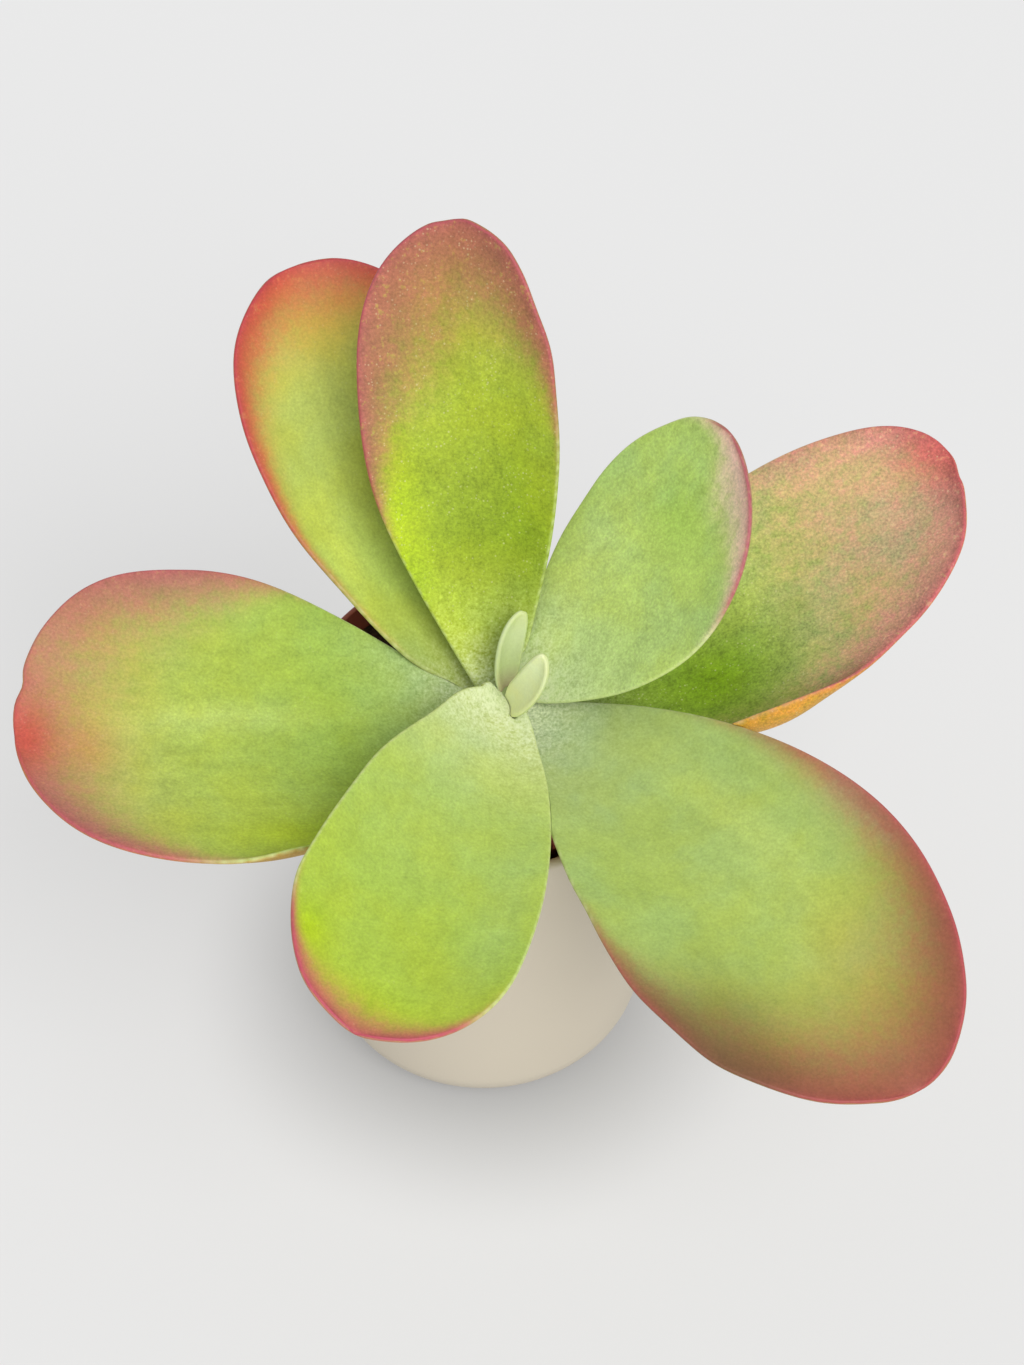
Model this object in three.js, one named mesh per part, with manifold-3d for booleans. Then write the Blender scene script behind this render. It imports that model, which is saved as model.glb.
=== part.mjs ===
// A paddle plant (Kalanchoe) in a terracotta-coloured nursery pot, set in a cream ceramic
// cover pot. Units are millimetres, +Z is up, and the origin is the centre of the cover
// pot's flat underside.
import * as THREE from 'three';
import { mergeVertices } from 'three/addons/utils/BufferGeometryUtils.js';
import Module from 'manifold-3d';

const wasm = await Module();
wasm.setup();

// ---------------------------------------------------------------- driving dimensions
const GAP = 0.3;                     // clearance between pieces that touch

const COVER = {
  height: 147, rimRadius: 65, baseRadius: 55.5, cornerRadius: 19, innerCorner: 9,
  wall: 4, floor: 5.5, rimRound: 1.9, sides: 56,
};

const NURSERY = {
  rimHeight: 158, rimRadius: 58, lipDepth: 14, lipThickness: 2.2, wall: 1.6,
  shoulder: 2.2, baseRadius: 44, footRound: 3, floor: 1.8, sides: 56,
  drains: 6, drainRadius: 4, drainCircle: 30,
};

const SOIL = { top: 147.5, relief: 1.6, rings: 9, sides: 40 };

// The stem stands a little off the pot's centre, towards -Y, where the crown leans. Above neck
// it narrows to the growing point, and it swells at each height in nodes, where leaves leave it.
const STEM = {
  x: 8, y: -8, foot: 118, top: 171.5, radius: 8.4, footRadius: 6.5, neck: 157, tipRadius: 3,
  nodes: [153, 157, 162.5], sides: 24,
};

// Each leaf is one paddle-shaped blade. z: height of its base on the stem, and start: distance of
// the base from the stem's axis. bearing: compass direction that it grows in, in degrees from +X
// towards +Y, and sweep, how far that turns by the tip. rise: angle above the horizontal at the
// base, and bend, what the tip adds to it. length and halfWidth: the blade's size. belly: where
// along the blade it is widest. neck: the base's share of the full width. flare: how fast it
// widens. tip: roundness of the outer end. cup: how far the cross-section is bent up, in degrees
// at the margin, and channel, what the base adds to that. roll and twist: turn about the midrib
// at the base, and what the tip adds. skew: share of the width that moves from the right margin
// to the left one. thickness: at the middle of the blade, and margin, at its edge. clasp: how far
// the rounded base reaches past its start, round the stem. curl: how far one margin rolls up, in
// degrees, the left one if it is above zero, with its place and span along the blade and how much
// fuller it is there. notch: a nick in the tip, and its place across. bulges: places where a
// margin stands out, as [1 for the left margin or -1 for the right one, place along, span along,
// size]. settle: how far the outer part has settled from the plain arc.
const LEAVES = {
  leaf_back_left: {
    z: 153, bearing: 122, sweep: 0, rise: 37.5, bend: -0.5, length: 159, halfWidth: 42,
    belly: 0.615, neck: 0.15, flare: 1, tip: 2.45, cup: 28, roll: -1, twist: 0.5, skew: 0,
    thickness: 4.6, colour: 0x9fb94a,
    bulges: [[1, 0.09, 0.05, -2.8], [1, 0.4, 0.12, -1.3], [1, 0.5, 0.25, 1.3],
      [1, 0.96, 0.06, -1], [-1, 0.99, 0.04, 0.8]],
  },
  leaf_right_far: {
    z: 156, bearing: 17, sweep: 15, rise: 17, bend: 13.5, length: 163, halfWidth: 44,
    belly: 0.5, neck: 0.145, flare: 1.16, tip: 2.9, cup: 24, roll: 13, twist: -8, skew: -0.175,
    thickness: 4.8, curl: -98, curlAt: 0.41, curlSpan: 0.31, curlReach: 1.35,
    notch: 1, notchX: -11, settle: [0, 7.7, -9.2], colour: 0xb09a66,
    bulges: [[-1, 0.965, 0.04, -2.8], [1, 0.87, 0.12, -1.3]],
  },
  leaf_left: {
    z: 157.5, bearing: 199, sweep: -10, rise: 14, bend: 0, length: 155, halfWidth: 58,
    belly: 0.6, neck: 0.16, flare: 1.12, tip: 2.8, cup: 26, roll: -6.5, twist: 1.5, skew: -0.01,
    thickness: 5, curl: 66, curlAt: 0.51, curlSpan: 0.17, curlReach: 0.6,
    notch: 1.5, notchX: -17, colour: 0xa3b95b,
    bulges: [[-1, 0.8, 0.2, 0.7], [-1, 0.95, 0.03, 0.6], [1, 0.74, 0.1, -0.7]],
  },
  leaf_back: {
    z: 162, bearing: 107, sweep: -16, rise: 58, bend: 2, length: 157, halfWidth: 33,
    belly: 0.69, neck: 0.185, flare: 1, tip: 2.15, cup: 28.5, roll: -10.5, twist: -12,
    skew: 0.02, thickness: 4.6, clasp: 4, notch: 0.8, notchX: 4, colour: 0x9db32e,
    bulges: [[1, 0.45, 0.18, 2.3], [1, 0.97, 0.05, -0.6], [-1, 0.42, 0.2, 1.1],
      [-1, 0.83, 0.07, -1.1], [-1, 0.96, 0.03, 0.6]],
  },
  leaf_right_front: {
    z: 163, bearing: -37, sweep: -26, rise: 3.8, bend: -14.3, length: 186, halfWidth: 50.8,
    belly: 0.61, neck: 0.12, flare: 0.97, tip: 2, cup: 30, roll: 8, twist: 9, skew: -0.13,
    thickness: 4.8, colour: 0xa0b45a,
    bulges: [[1, 0.6, 0.16, 1.2], [1, 0.95, 0.06, 0.6], [-1, 0.8, 0.06, 0.9],
      [-1, 0.985, 0.03, -1.2]],
  },
  leaf_front: {
    z: 169, start: 8.3, bearing: 259, sweep: -12.5, rise: 7.2, bend: 0, length: 145,
    halfWidth: 38.3, belly: 0.71, neck: 0.26, flare: 0.765, tip: 2.1, cup: 30, channel: 42,
    roll: -25, twist: 12.5, skew: -0.09, thickness: 4.4, clasp: 7.5,
    bulges: [[-1, 0.03, 0.07, 2.6], [-1, 0.3, 0.16, 2], [1, 0.07, 0.07, -1.3],
      [-1, 0.83, 0.08, -0.7], [-1, 0.97, 0.03, 0.9]],
    colour: 0xa9c35c,
  },
  leaf_right_upper: {
    z: 168.5, bearing: 26, sweep: 2, rise: 44, bend: 13.7, length: 111, halfWidth: 37,
    belly: 0.59, neck: 0.15, flare: 0.86, tip: 1.8, cup: 14, roll: 6.7, twist: -5.3, skew: -0.17,
    thickness: 4, clasp: 4.5, colour: 0xa5bd6a,
    bulges: [[1, 0.5, 0.1, -0.6], [1, 0.75, 0.1, 0.7], [1, 0.95, 0.06, 1]],
  },
  young_leaf_back: {
    z: 169.6, start: 2.5, bearing: 87, sweep: -50, rise: 72.5, bend: -16, length: 28.5,
    halfWidth: 5.5, belly: 0.37, neck: 0.64, flare: 1.04, tip: 2.6, cup: 47.5, roll: 35.5,
    twist: 26, skew: 0.24, thickness: 2.6, margin: 1.1, clasp: 1.5, colour: 0xbccb9a,
    young: true,
  },
  young_leaf_front: {
    z: 168.2, start: 3.5, bearing: -62, sweep: 58, rise: 60, bend: 20, length: 36,
    halfWidth: 6.2, belly: 0.36, neck: 0.64, flare: 1.02, tip: 2.7, cup: 50, roll: 79.5,
    twist: -14.5, skew: -0.185, thickness: 2.6, margin: 1.1, clasp: 1.5, colour: 0xbccb9a,
    young: true,
  },
};
const LEAF_DEFAULTS = { start: 7, clasp: 3, margin: 1, channel: 0, bulges: [], settle: [0, 0, 0] };
const CHANNEL_SPAN = 0.06;           // share of the blade over which its channelled base opens
const ROLL_FROM = 0.78;              // place across where a rolled margin starts to bend
const SETTLED_BY = 0.4;              // share of the blade over which it settles
const GROWN_GRID = { rows: 26, half: 5 };
const YOUNG_GRID = { rows: 12, half: 3 };

// ---------------------------------------------------------------- small helpers
const rad = THREE.MathUtils.degToRad;
const { clamp, smoothstep } = THREE.MathUtils;

function indexed(positions, triangles) {
  const geometry = new THREE.BufferGeometry();
  geometry.setAttribute('position', new THREE.Float32BufferAttribute(positions, 3));
  geometry.setIndex(triangles);
  return geometry;
}

function toSolid(geometry) {
  const bare = geometry.clone();
  bare.deleteAttribute('normal');
  bare.deleteAttribute('uv');
  const merged = mergeVertices(bare, 1e-4);
  const mesh = new wasm.Mesh({
    numProp: 3,
    vertProperties: new Float32Array(merged.attributes.position.array),
    triVerts: new Uint32Array(merged.index.array),
  });
  mesh.merge();
  return new wasm.Manifold(mesh);
}

function toGeometry(solid) {
  const { vertProperties, triVerts } = solid.getMesh();
  return indexed(Array.from(vertProperties), Array.from(triVerts));
}

function largestBody(solid) {
  return solid.decompose().reduce((a, b) => (b.volume() > a.volume() ? b : a));
}

function turned(profile, sides) {
  return new THREE.LatheGeometry(profile.map(([r, z]) => new THREE.Vector2(r, z)), sides)
    .rotateX(Math.PI / 2);
}

function arc(cx, cz, radius, from, to, steps) {
  return Array.from({ length: steps + 1 }, (_, i) => {
    const a = rad(from + (to - from) * i / steps);
    return [cx + radius * Math.cos(a), cz + radius * Math.sin(a)];
  });
}

// ---------------------------------------------------------------- cover pot
function coverPot() {
  const { height, rimRadius, baseRadius, cornerRadius, innerCorner, wall, floor, rimRound } = COVER;
  const profile = [
    [0, 0],
    ...arc(baseRadius - cornerRadius, cornerRadius, cornerRadius, -90, -4, 7),
    ...arc(rimRadius - rimRound, height - rimRound, rimRound, 0, 180, 6),
    ...arc(baseRadius - wall - innerCorner, floor + innerCorner, innerCorner, -4, -90, 5),
    [0, floor],
  ];
  return turned(profile, COVER.sides);
}

// ---------------------------------------------------------------- nursery pot
function nurseryPot() {
  const p = NURSERY;
  const bottom = COVER.floor + GAP;
  const lipFoot = p.rimHeight - p.lipDepth;
  const bodyTop = p.rimRadius - p.lipThickness - p.shoulder;
  const profile = [
    [0, bottom],
    ...arc(p.baseRadius - p.footRound, bottom + p.footRound, p.footRound, -90, 0, 3),
    [bodyTop, lipFoot - p.shoulder],
    [p.rimRadius - 0.8, lipFoot],
    [p.rimRadius, p.rimHeight - 1],
    [p.rimRadius - 0.6, p.rimHeight],
    [p.rimRadius - p.lipThickness + 0.4, p.rimHeight],
    [p.rimRadius - p.lipThickness - 0.4, lipFoot + 1],
    [bodyTop - p.wall, lipFoot - p.shoulder],
    [p.baseRadius - p.wall - 1, bottom + p.floor + 2],
    [p.baseRadius - p.wall - 3, bottom + p.floor],
    [0, bottom + p.floor],
  ];
  let pot = toSolid(turned(profile, p.sides));
  for (let i = 0; i < p.drains; i++) {
    const a = 2 * Math.PI * i / p.drains;
    const drain = new THREE.CylinderGeometry(p.drainRadius, p.drainRadius, 4 * p.floor, 12)
      .rotateX(Math.PI / 2)
      .translate(p.drainCircle * Math.cos(a), p.drainCircle * Math.sin(a), bottom + p.floor / 2);
    pot = pot.subtract(toSolid(drain));
  }
  return toGeometry(pot);
}

// ---------------------------------------------------------------- stem
function stemSolid(grow = 0) {
  const { x, y, foot, top, radius, footRadius, neck, tipRadius, nodes, sides } = STEM;
  const swelling = (z) => nodes.reduce((sum, n) => sum + 0.5 * Math.exp(-(((z - n) / 1.6) ** 2)), 0);
  const profile = [[0, foot - grow], [footRadius + grow - 1, foot - grow]];
  const steps = 20;
  for (let k = 0; k <= steps; k++) {
    const z = foot + 1.5 + (top - 1.5 - foot - 1.5) * k / steps;
    const grown = footRadius + (radius - footRadius) * smoothstep(z, foot, 150);
    const narrowed = grown + (tipRadius - radius) * smoothstep(z, neck, top - 2);
    profile.push([narrowed + swelling(z) + grow, z]);
  }
  profile.push([tipRadius - 0.9 + grow, top - 0.5 + grow], [0, top + grow]);
  return toSolid(turned(profile, sides).translate(x, y, 0));
}

// ---------------------------------------------------------------- soil
// A disc of rings whose top is raised in small mounds, closed down to the nursery pot's floor.
function soilBody() {
  const { top, relief, rings, sides } = SOIL;
  const p = NURSERY;
  const bottom = COVER.floor + p.floor + 2 * GAP;
  const lipFoot = p.rimHeight - p.lipDepth;
  const outer = p.rimRadius - p.lipThickness - 0.5 - GAP;
  const waist = p.rimRadius - p.lipThickness - p.shoulder - p.wall - GAP;
  const foot = p.baseRadius - p.wall - 3 - GAP;
  const mound = (x, y) => relief * (
    Math.sin(x * 0.21 + 1.3) * Math.cos(y * 0.19) + 0.6 * Math.sin(x * 0.43 - y * 0.37));
  const points = [0, 0, top + mound(0, 0)];
  const ring = (radius, height) => {
    for (let k = 0; k < sides; k++) {
      const a = 2 * Math.PI * k / sides;
      const [x, y] = [radius * Math.cos(a), radius * Math.sin(a)];
      points.push(x, y, height ?? top + mound(x, y) * smoothstep(outer - radius, 0, 6));
    }
  };
  for (let i = 1; i <= rings; i++) ring(outer * i / rings);
  ring(outer - 0.1, lipFoot + 1);
  ring(waist - 0.2, lipFoot - p.shoulder);
  ring(foot, bottom);
  points.push(0, 0, bottom);
  const last = points.length / 3 - 1;
  const loops = rings + 3;
  const at = (i, k) => 1 + i * sides + (k % sides);
  const triangles = [];
  for (let k = 0; k < sides; k++) {
    triangles.push(0, at(0, k), at(0, k + 1), last, at(loops - 1, k + 1), at(loops - 1, k));
    for (let i = 0; i + 1 < loops; i++) {
      triangles.push(at(i, k), at(i + 1, k), at(i + 1, k + 1));
      triangles.push(at(i, k), at(i + 1, k + 1), at(i, k + 1));
    }
  }
  return toSolid(indexed(points, triangles));
}

// ---------------------------------------------------------------- leaves
// Direction of growth at t, a share of the length from 0 at the start to 1 at the tip.
function growth(leaf, t) {
  const bearing = rad(leaf.bearing + leaf.sweep * t);
  const rise = rad(leaf.rise + leaf.bend * Math.max(0, t) ** 1.5);
  return { bearing, way: new THREE.Vector3(
    Math.cos(rise) * Math.cos(bearing), Math.cos(rise) * Math.sin(bearing), Math.sin(rise)) };
}

function halfWidthAt(leaf, t) {
  const widening = Math.sin(0.5 * Math.PI * clamp(t / leaf.belly, 0, 1)) ** leaf.flare;
  const beyond = clamp((t - leaf.belly) / (1 - leaf.belly), 0, 1);
  const behind = clamp(-t * leaf.length / leaf.clasp, 0, 1);
  return leaf.halfWidth * (leaf.neck + (1 - leaf.neck) * widening)
    * Math.sqrt(Math.max(0, 1 - beyond ** leaf.tip)) * Math.sqrt(1 - 0.85 * behind ** 3);
}

// The cross-section at t: how far a place across lies to the side, and how far it is lifted.
function section(leaf, t, across) {
  const width = halfWidthAt(leaf, t);
  const cup = rad(leaf.cup + leaf.channel * Math.exp(-Math.max(0, t) / CHANNEL_SPAN));
  const angle = cup * (across + leaf.skew * across * across);
  let offset = width * Math.sin(angle) / cup;
  let lift = width * (1 - Math.cos(angle)) / cup;
  if (leaf.curl) {                   // one margin rolls up along an arc over part of its length
    const hand = Math.sign(leaf.curl);
    const share = Math.max(0, 1 - ((t - leaf.curlAt) / leaf.curlSpan) ** 2) ** 2;
    const past = Math.max(0, hand * across - ROLL_FROM);
    const fuller = 1 + leaf.curlReach * share;
    const steps = 10;
    for (let k = 0; k < steps; k++) {
      const outer = past * (k + 0.5) / steps;
      const place = hand * (ROLL_FROM + outer);
      const plain = cup * (place + leaf.skew * place * place);
      const bent = plain + rad(leaf.curl) * share * (outer / (1 - ROLL_FROM)) ** 2;
      const step = hand * width * (1 + 2 * leaf.skew * place) * past / steps;
      offset += (fuller * Math.cos(bent) - Math.cos(plain)) * step;
      lift += (fuller * Math.sin(bent) - Math.sin(plain)) * step;
    }
  }
  for (const [hand, place, span, size] of leaf.bulges) {
    offset += hand * size * smoothstep(hand * across, 0.2, 1)
      * Math.exp(-(((t - place) / span) ** 2));
  }
  return { offset, lift };
}

// A point of the blade's middle surface. across runs from -1, the right margin, to 1, the left.
function bladePoint(leaf, t, across) {
  const steps = 16;
  const point = new THREE.Vector3();
  for (let k = 0; k < steps; k++) {
    point.addScaledVector(growth(leaf, t * (k + 0.5) / steps).way, leaf.length * t / steps);
  }
  const first = rad(leaf.bearing);
  point.add(new THREE.Vector3(
    STEM.x + leaf.start * Math.cos(first), STEM.y + leaf.start * Math.sin(first), leaf.z));

  const { bearing, way } = growth(leaf, t);
  const level = new THREE.Vector3(-Math.sin(bearing), Math.cos(bearing), 0);
  const upright = new THREE.Vector3().crossVectors(way, level);
  const roll = rad(leaf.roll + leaf.twist * t);
  const side = level.clone().multiplyScalar(Math.cos(roll))
    .addScaledVector(upright, Math.sin(roll));
  const face = upright.clone().multiplyScalar(Math.cos(roll))
    .addScaledVector(level, -Math.sin(roll));

  const { offset, lift } = section(leaf, t, across);
  const dent = leaf.notch
    ? leaf.notch * Math.exp(-(((offset - leaf.notchX) / 4) ** 2)) * smoothstep(t, 0.88, 1) : 0;
  return point.addScaledVector(side, offset).addScaledVector(face, lift)
    .addScaledVector(way, -dent)
    .addScaledVector(new THREE.Vector3(...leaf.settle), smoothstep(t, 0, SETTLED_BY));
}

// Upward normal of the middle surface, from its slopes along and across the blade.
function bladeNormal(leaf, t, across) {
  const h = 0.004;
  const at = Math.min(t, 0.985);
  const along = bladePoint(leaf, at + h, across).sub(bladePoint(leaf, at - h, across));
  const over = bladePoint(leaf, at, across + h).sub(bladePoint(leaf, at, across - h));
  return along.cross(over).normalize();
}

// The closed blade: upper and lower faces on one grid, joined by the margin's small edge. grow
// thickens and widens it, to cut clearance from a neighbour.
function leafSolid(values, grow = 0) {
  const { rows, half } = values.young ? YOUNG_GRID : GROWN_GRID;
  const leaf = { ...LEAF_DEFAULTS, ...values };
  leaf.halfWidth += grow;
  leaf.length += 2 * grow;
  leaf.clasp += 2 * grow;
  const base = -leaf.clasp / leaf.length;
  const count = 2 * half + 1;
  const points = [];
  const put = (t, across, face) => {
    const body = Math.sqrt(Math.max(0, 1 - across * across)) * Math.sqrt(1 - t ** 6);
    const depth = leaf.margin + (leaf.thickness - leaf.margin) * body;
    points.push(...bladePoint(leaf, t, across)
      .addScaledVector(bladeNormal(leaf, t, across), face * (0.5 * depth + grow)));
  };
  for (let i = 0; i < rows; i++) {
    const t = base + (1 - base) * Math.sin(0.5 * Math.PI * i / rows) ** 1.15;
    for (const face of [1, -1]) {
      for (let j = -half; j <= half; j++) put(t, Math.sin(0.5 * Math.PI * j / half), face);
    }
  }
  put(1, 0, 1);
  put(1, 0, -1);
  const up = (i, j) => i * 2 * count + j;
  const low = (i, j) => up(i, j) + count;
  const tipUp = rows * 2 * count;
  const tipLow = tipUp + 1;
  const triangles = [];
  const quad = (a, b, c, d) => triangles.push(a, b, c, a, c, d);
  for (let i = 0; i + 1 < rows; i++) {
    for (let j = 0; j + 1 < count; j++) {
      quad(up(i, j), up(i + 1, j), up(i + 1, j + 1), up(i, j + 1));
      triangles.push(low(i, j), low(i + 1, j + 1), low(i + 1, j));
      triangles.push(low(i, j), low(i, j + 1), low(i + 1, j + 1));
    }
    quad(low(i, 0), low(i + 1, 0), up(i + 1, 0), up(i, 0));
    quad(up(i, count - 1), up(i + 1, count - 1), low(i + 1, count - 1), low(i, count - 1));
  }
  const end = rows - 1;
  for (let j = 0; j + 1 < count; j++) {
    triangles.push(up(end, j), tipUp, up(end, j + 1), low(end, j), low(end, j + 1), tipLow);
    quad(low(0, j), up(0, j), up(0, j + 1), low(0, j + 1));
  }
  quad(low(end, 0), tipLow, tipUp, up(end, 0));
  quad(up(end, count - 1), tipUp, tipLow, low(end, count - 1));
  return toSolid(indexed(points, triangles));
}

// Leaves are cut back where their fleshy bases press on the stem and on the leaves above.
function leafGeometries() {
  const names = Object.keys(LEAVES);
  const stem = stemSolid(GAP);
  const grown = names.map((name) => leafSolid(LEAVES[name], GAP));
  return names.map((name, i) => {
    let body = leafSolid(LEAVES[name]).subtract(stem);
    for (let k = i + 1; k < names.length; k++) body = body.subtract(grown[k]);
    return toGeometry(largestBody(body));
  });
}

// ---------------------------------------------------------------- the plant
const object = new THREE.Group();

function addPiece(name, geometry, colour, roughness) {
  const material = new THREE.MeshStandardMaterial({ color: colour, roughness, metalness: 0 });
  const mesh = new THREE.Mesh(geometry, material);
  mesh.name = name;
  object.add(mesh);
}

addPiece('cover_pot', coverPot(), 0xd9d0c0, 0.6);
addPiece('nursery_pot', nurseryPot(), 0x9c5244, 0.5);
addPiece('soil', toGeometry(largestBody(soilBody().subtract(stemSolid(GAP)))), 0x2e211a, 0.95);
addPiece('stem', toGeometry(stemSolid()), 0x8d9a66, 0.7);
leafGeometries().forEach((geometry, i) => {
  const name = Object.keys(LEAVES)[i];
  addPiece(name, geometry, LEAVES[name].colour, 0.55);
});

export default object;
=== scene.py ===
"""Looks of a paddle plant in its nursery pot and cover pot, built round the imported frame.

The blades, the stem, the potting mix and both pots are fine meshes that stand for the frame's
nodes. They are made from the same sizes as the solids, in millimetres, and end up in metres.
"""

import math
from functools import partial

import bmesh
import bpy
import numpy as np
from bpy.props import (
    FloatProperty,
    FloatVectorProperty,
    IntProperty,
    PointerProperty,
)
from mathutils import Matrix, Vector
from mathutils.kdtree import KDTree


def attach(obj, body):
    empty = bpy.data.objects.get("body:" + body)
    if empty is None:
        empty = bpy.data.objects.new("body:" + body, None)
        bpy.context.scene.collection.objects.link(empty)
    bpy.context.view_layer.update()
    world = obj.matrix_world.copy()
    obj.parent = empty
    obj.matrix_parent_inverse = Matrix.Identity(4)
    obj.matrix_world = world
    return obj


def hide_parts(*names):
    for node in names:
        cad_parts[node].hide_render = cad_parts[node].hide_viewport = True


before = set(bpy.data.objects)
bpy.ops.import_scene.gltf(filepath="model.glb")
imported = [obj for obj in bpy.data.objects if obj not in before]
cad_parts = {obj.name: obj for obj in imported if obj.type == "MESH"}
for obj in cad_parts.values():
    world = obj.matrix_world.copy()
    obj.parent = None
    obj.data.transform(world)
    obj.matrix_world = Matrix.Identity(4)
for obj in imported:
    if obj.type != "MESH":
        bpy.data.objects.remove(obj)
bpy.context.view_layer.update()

bl_info = {
    "name": "Paddle plant in a cover pot",
    "version": (1, 0, 0),
    "blender": (4, 5, 0),
    "location": "View3D > Sidebar > Paddle plant",
    "description": "Builds the blades, stem, potting mix and pots of a paddle plant",
    "category": "Object",
}

MM = 0.001
BODY = "root"
# Noise of scale 1 / (size * BLOTCH) has blotches about size millimetres across.
BLOTCH = 1.6 * MM

# ------------------------------------------------------------------ sizes, in millimetres

COVER = dict(
    height=147, rim_radius=65, base_radius=55.5, corner=19, inner_corner=9, wall=4, floor=5.5,
    rim_round=1.9,
)
NURSERY = dict(
    rim_height=158, rim_radius=58, lip_depth=14, lip_thickness=2.2, wall=1.6, shoulder=2.2,
    base_radius=44, foot_round=3, floor=1.8, drains=6, drain_radius=4, drain_circle=30,
)
GAP = 0.3
SOIL_TOP = 147.5
STEM = dict(
    x=8, y=-8, foot=118, full=150, neck=157, top=171.5, foot_radius=6.5, radius=8.4, tip_radius=3,
)
STEM_NODES = (153, 157, 162.5)
STEM_SCARS = (136, 142, 148.5, 151)
SOIL_WAVES = (34, 21, 13, 9, 6, 4.3, 3.1, 2.3)
LEAF_START = 7
CLASP = 3
MARGIN = 1.0
NOTCH_WIDTH = 4
RIPPLE_WAVES = (70, 46, 31, 22)
RIPPLE_HEIGHT = 0.28
RIPPLE_LENGTH = 160
MARGIN_BLEND = 2.5
RIM_FADE = 1.5
RIM_LINE = 0.4
POWDER_REACH = 20

# Shares of a blade's length or width, and steps of the sums along them.
ROLL_FROM = 0.78
CHANNEL_SPAN = 0.06
SETTLED_BY = 0.4
NOTCH_FROM = 0.88
TIP_FADE = 0.98
BODY_STOPS = (0.0, 0.33, 0.66, 1.0)
MIDRIB_STEPS = 16
ROLL_STEPS = 10
OUTLINE_STEPS = 180

# Strengths of what is painted on: the blush and powder underneath, the red beside the margin,
# the line on it, and the line and powder of a young leaf.
UNDER_BLUSH = 0.5
UNDER_POWDER = 0.6
RIM_STRENGTH = 0.9
LINE_STRENGTH = 0.65
YOUNG_STRENGTH = 0.2

# Fineness of the blades: rows along the blade, and columns from the midrib to a margin.
GROWN_COLUMNS = 40
YOUNG_GRID = (40, 16)
CLEARANCE_GRID = (60, 16)

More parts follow.
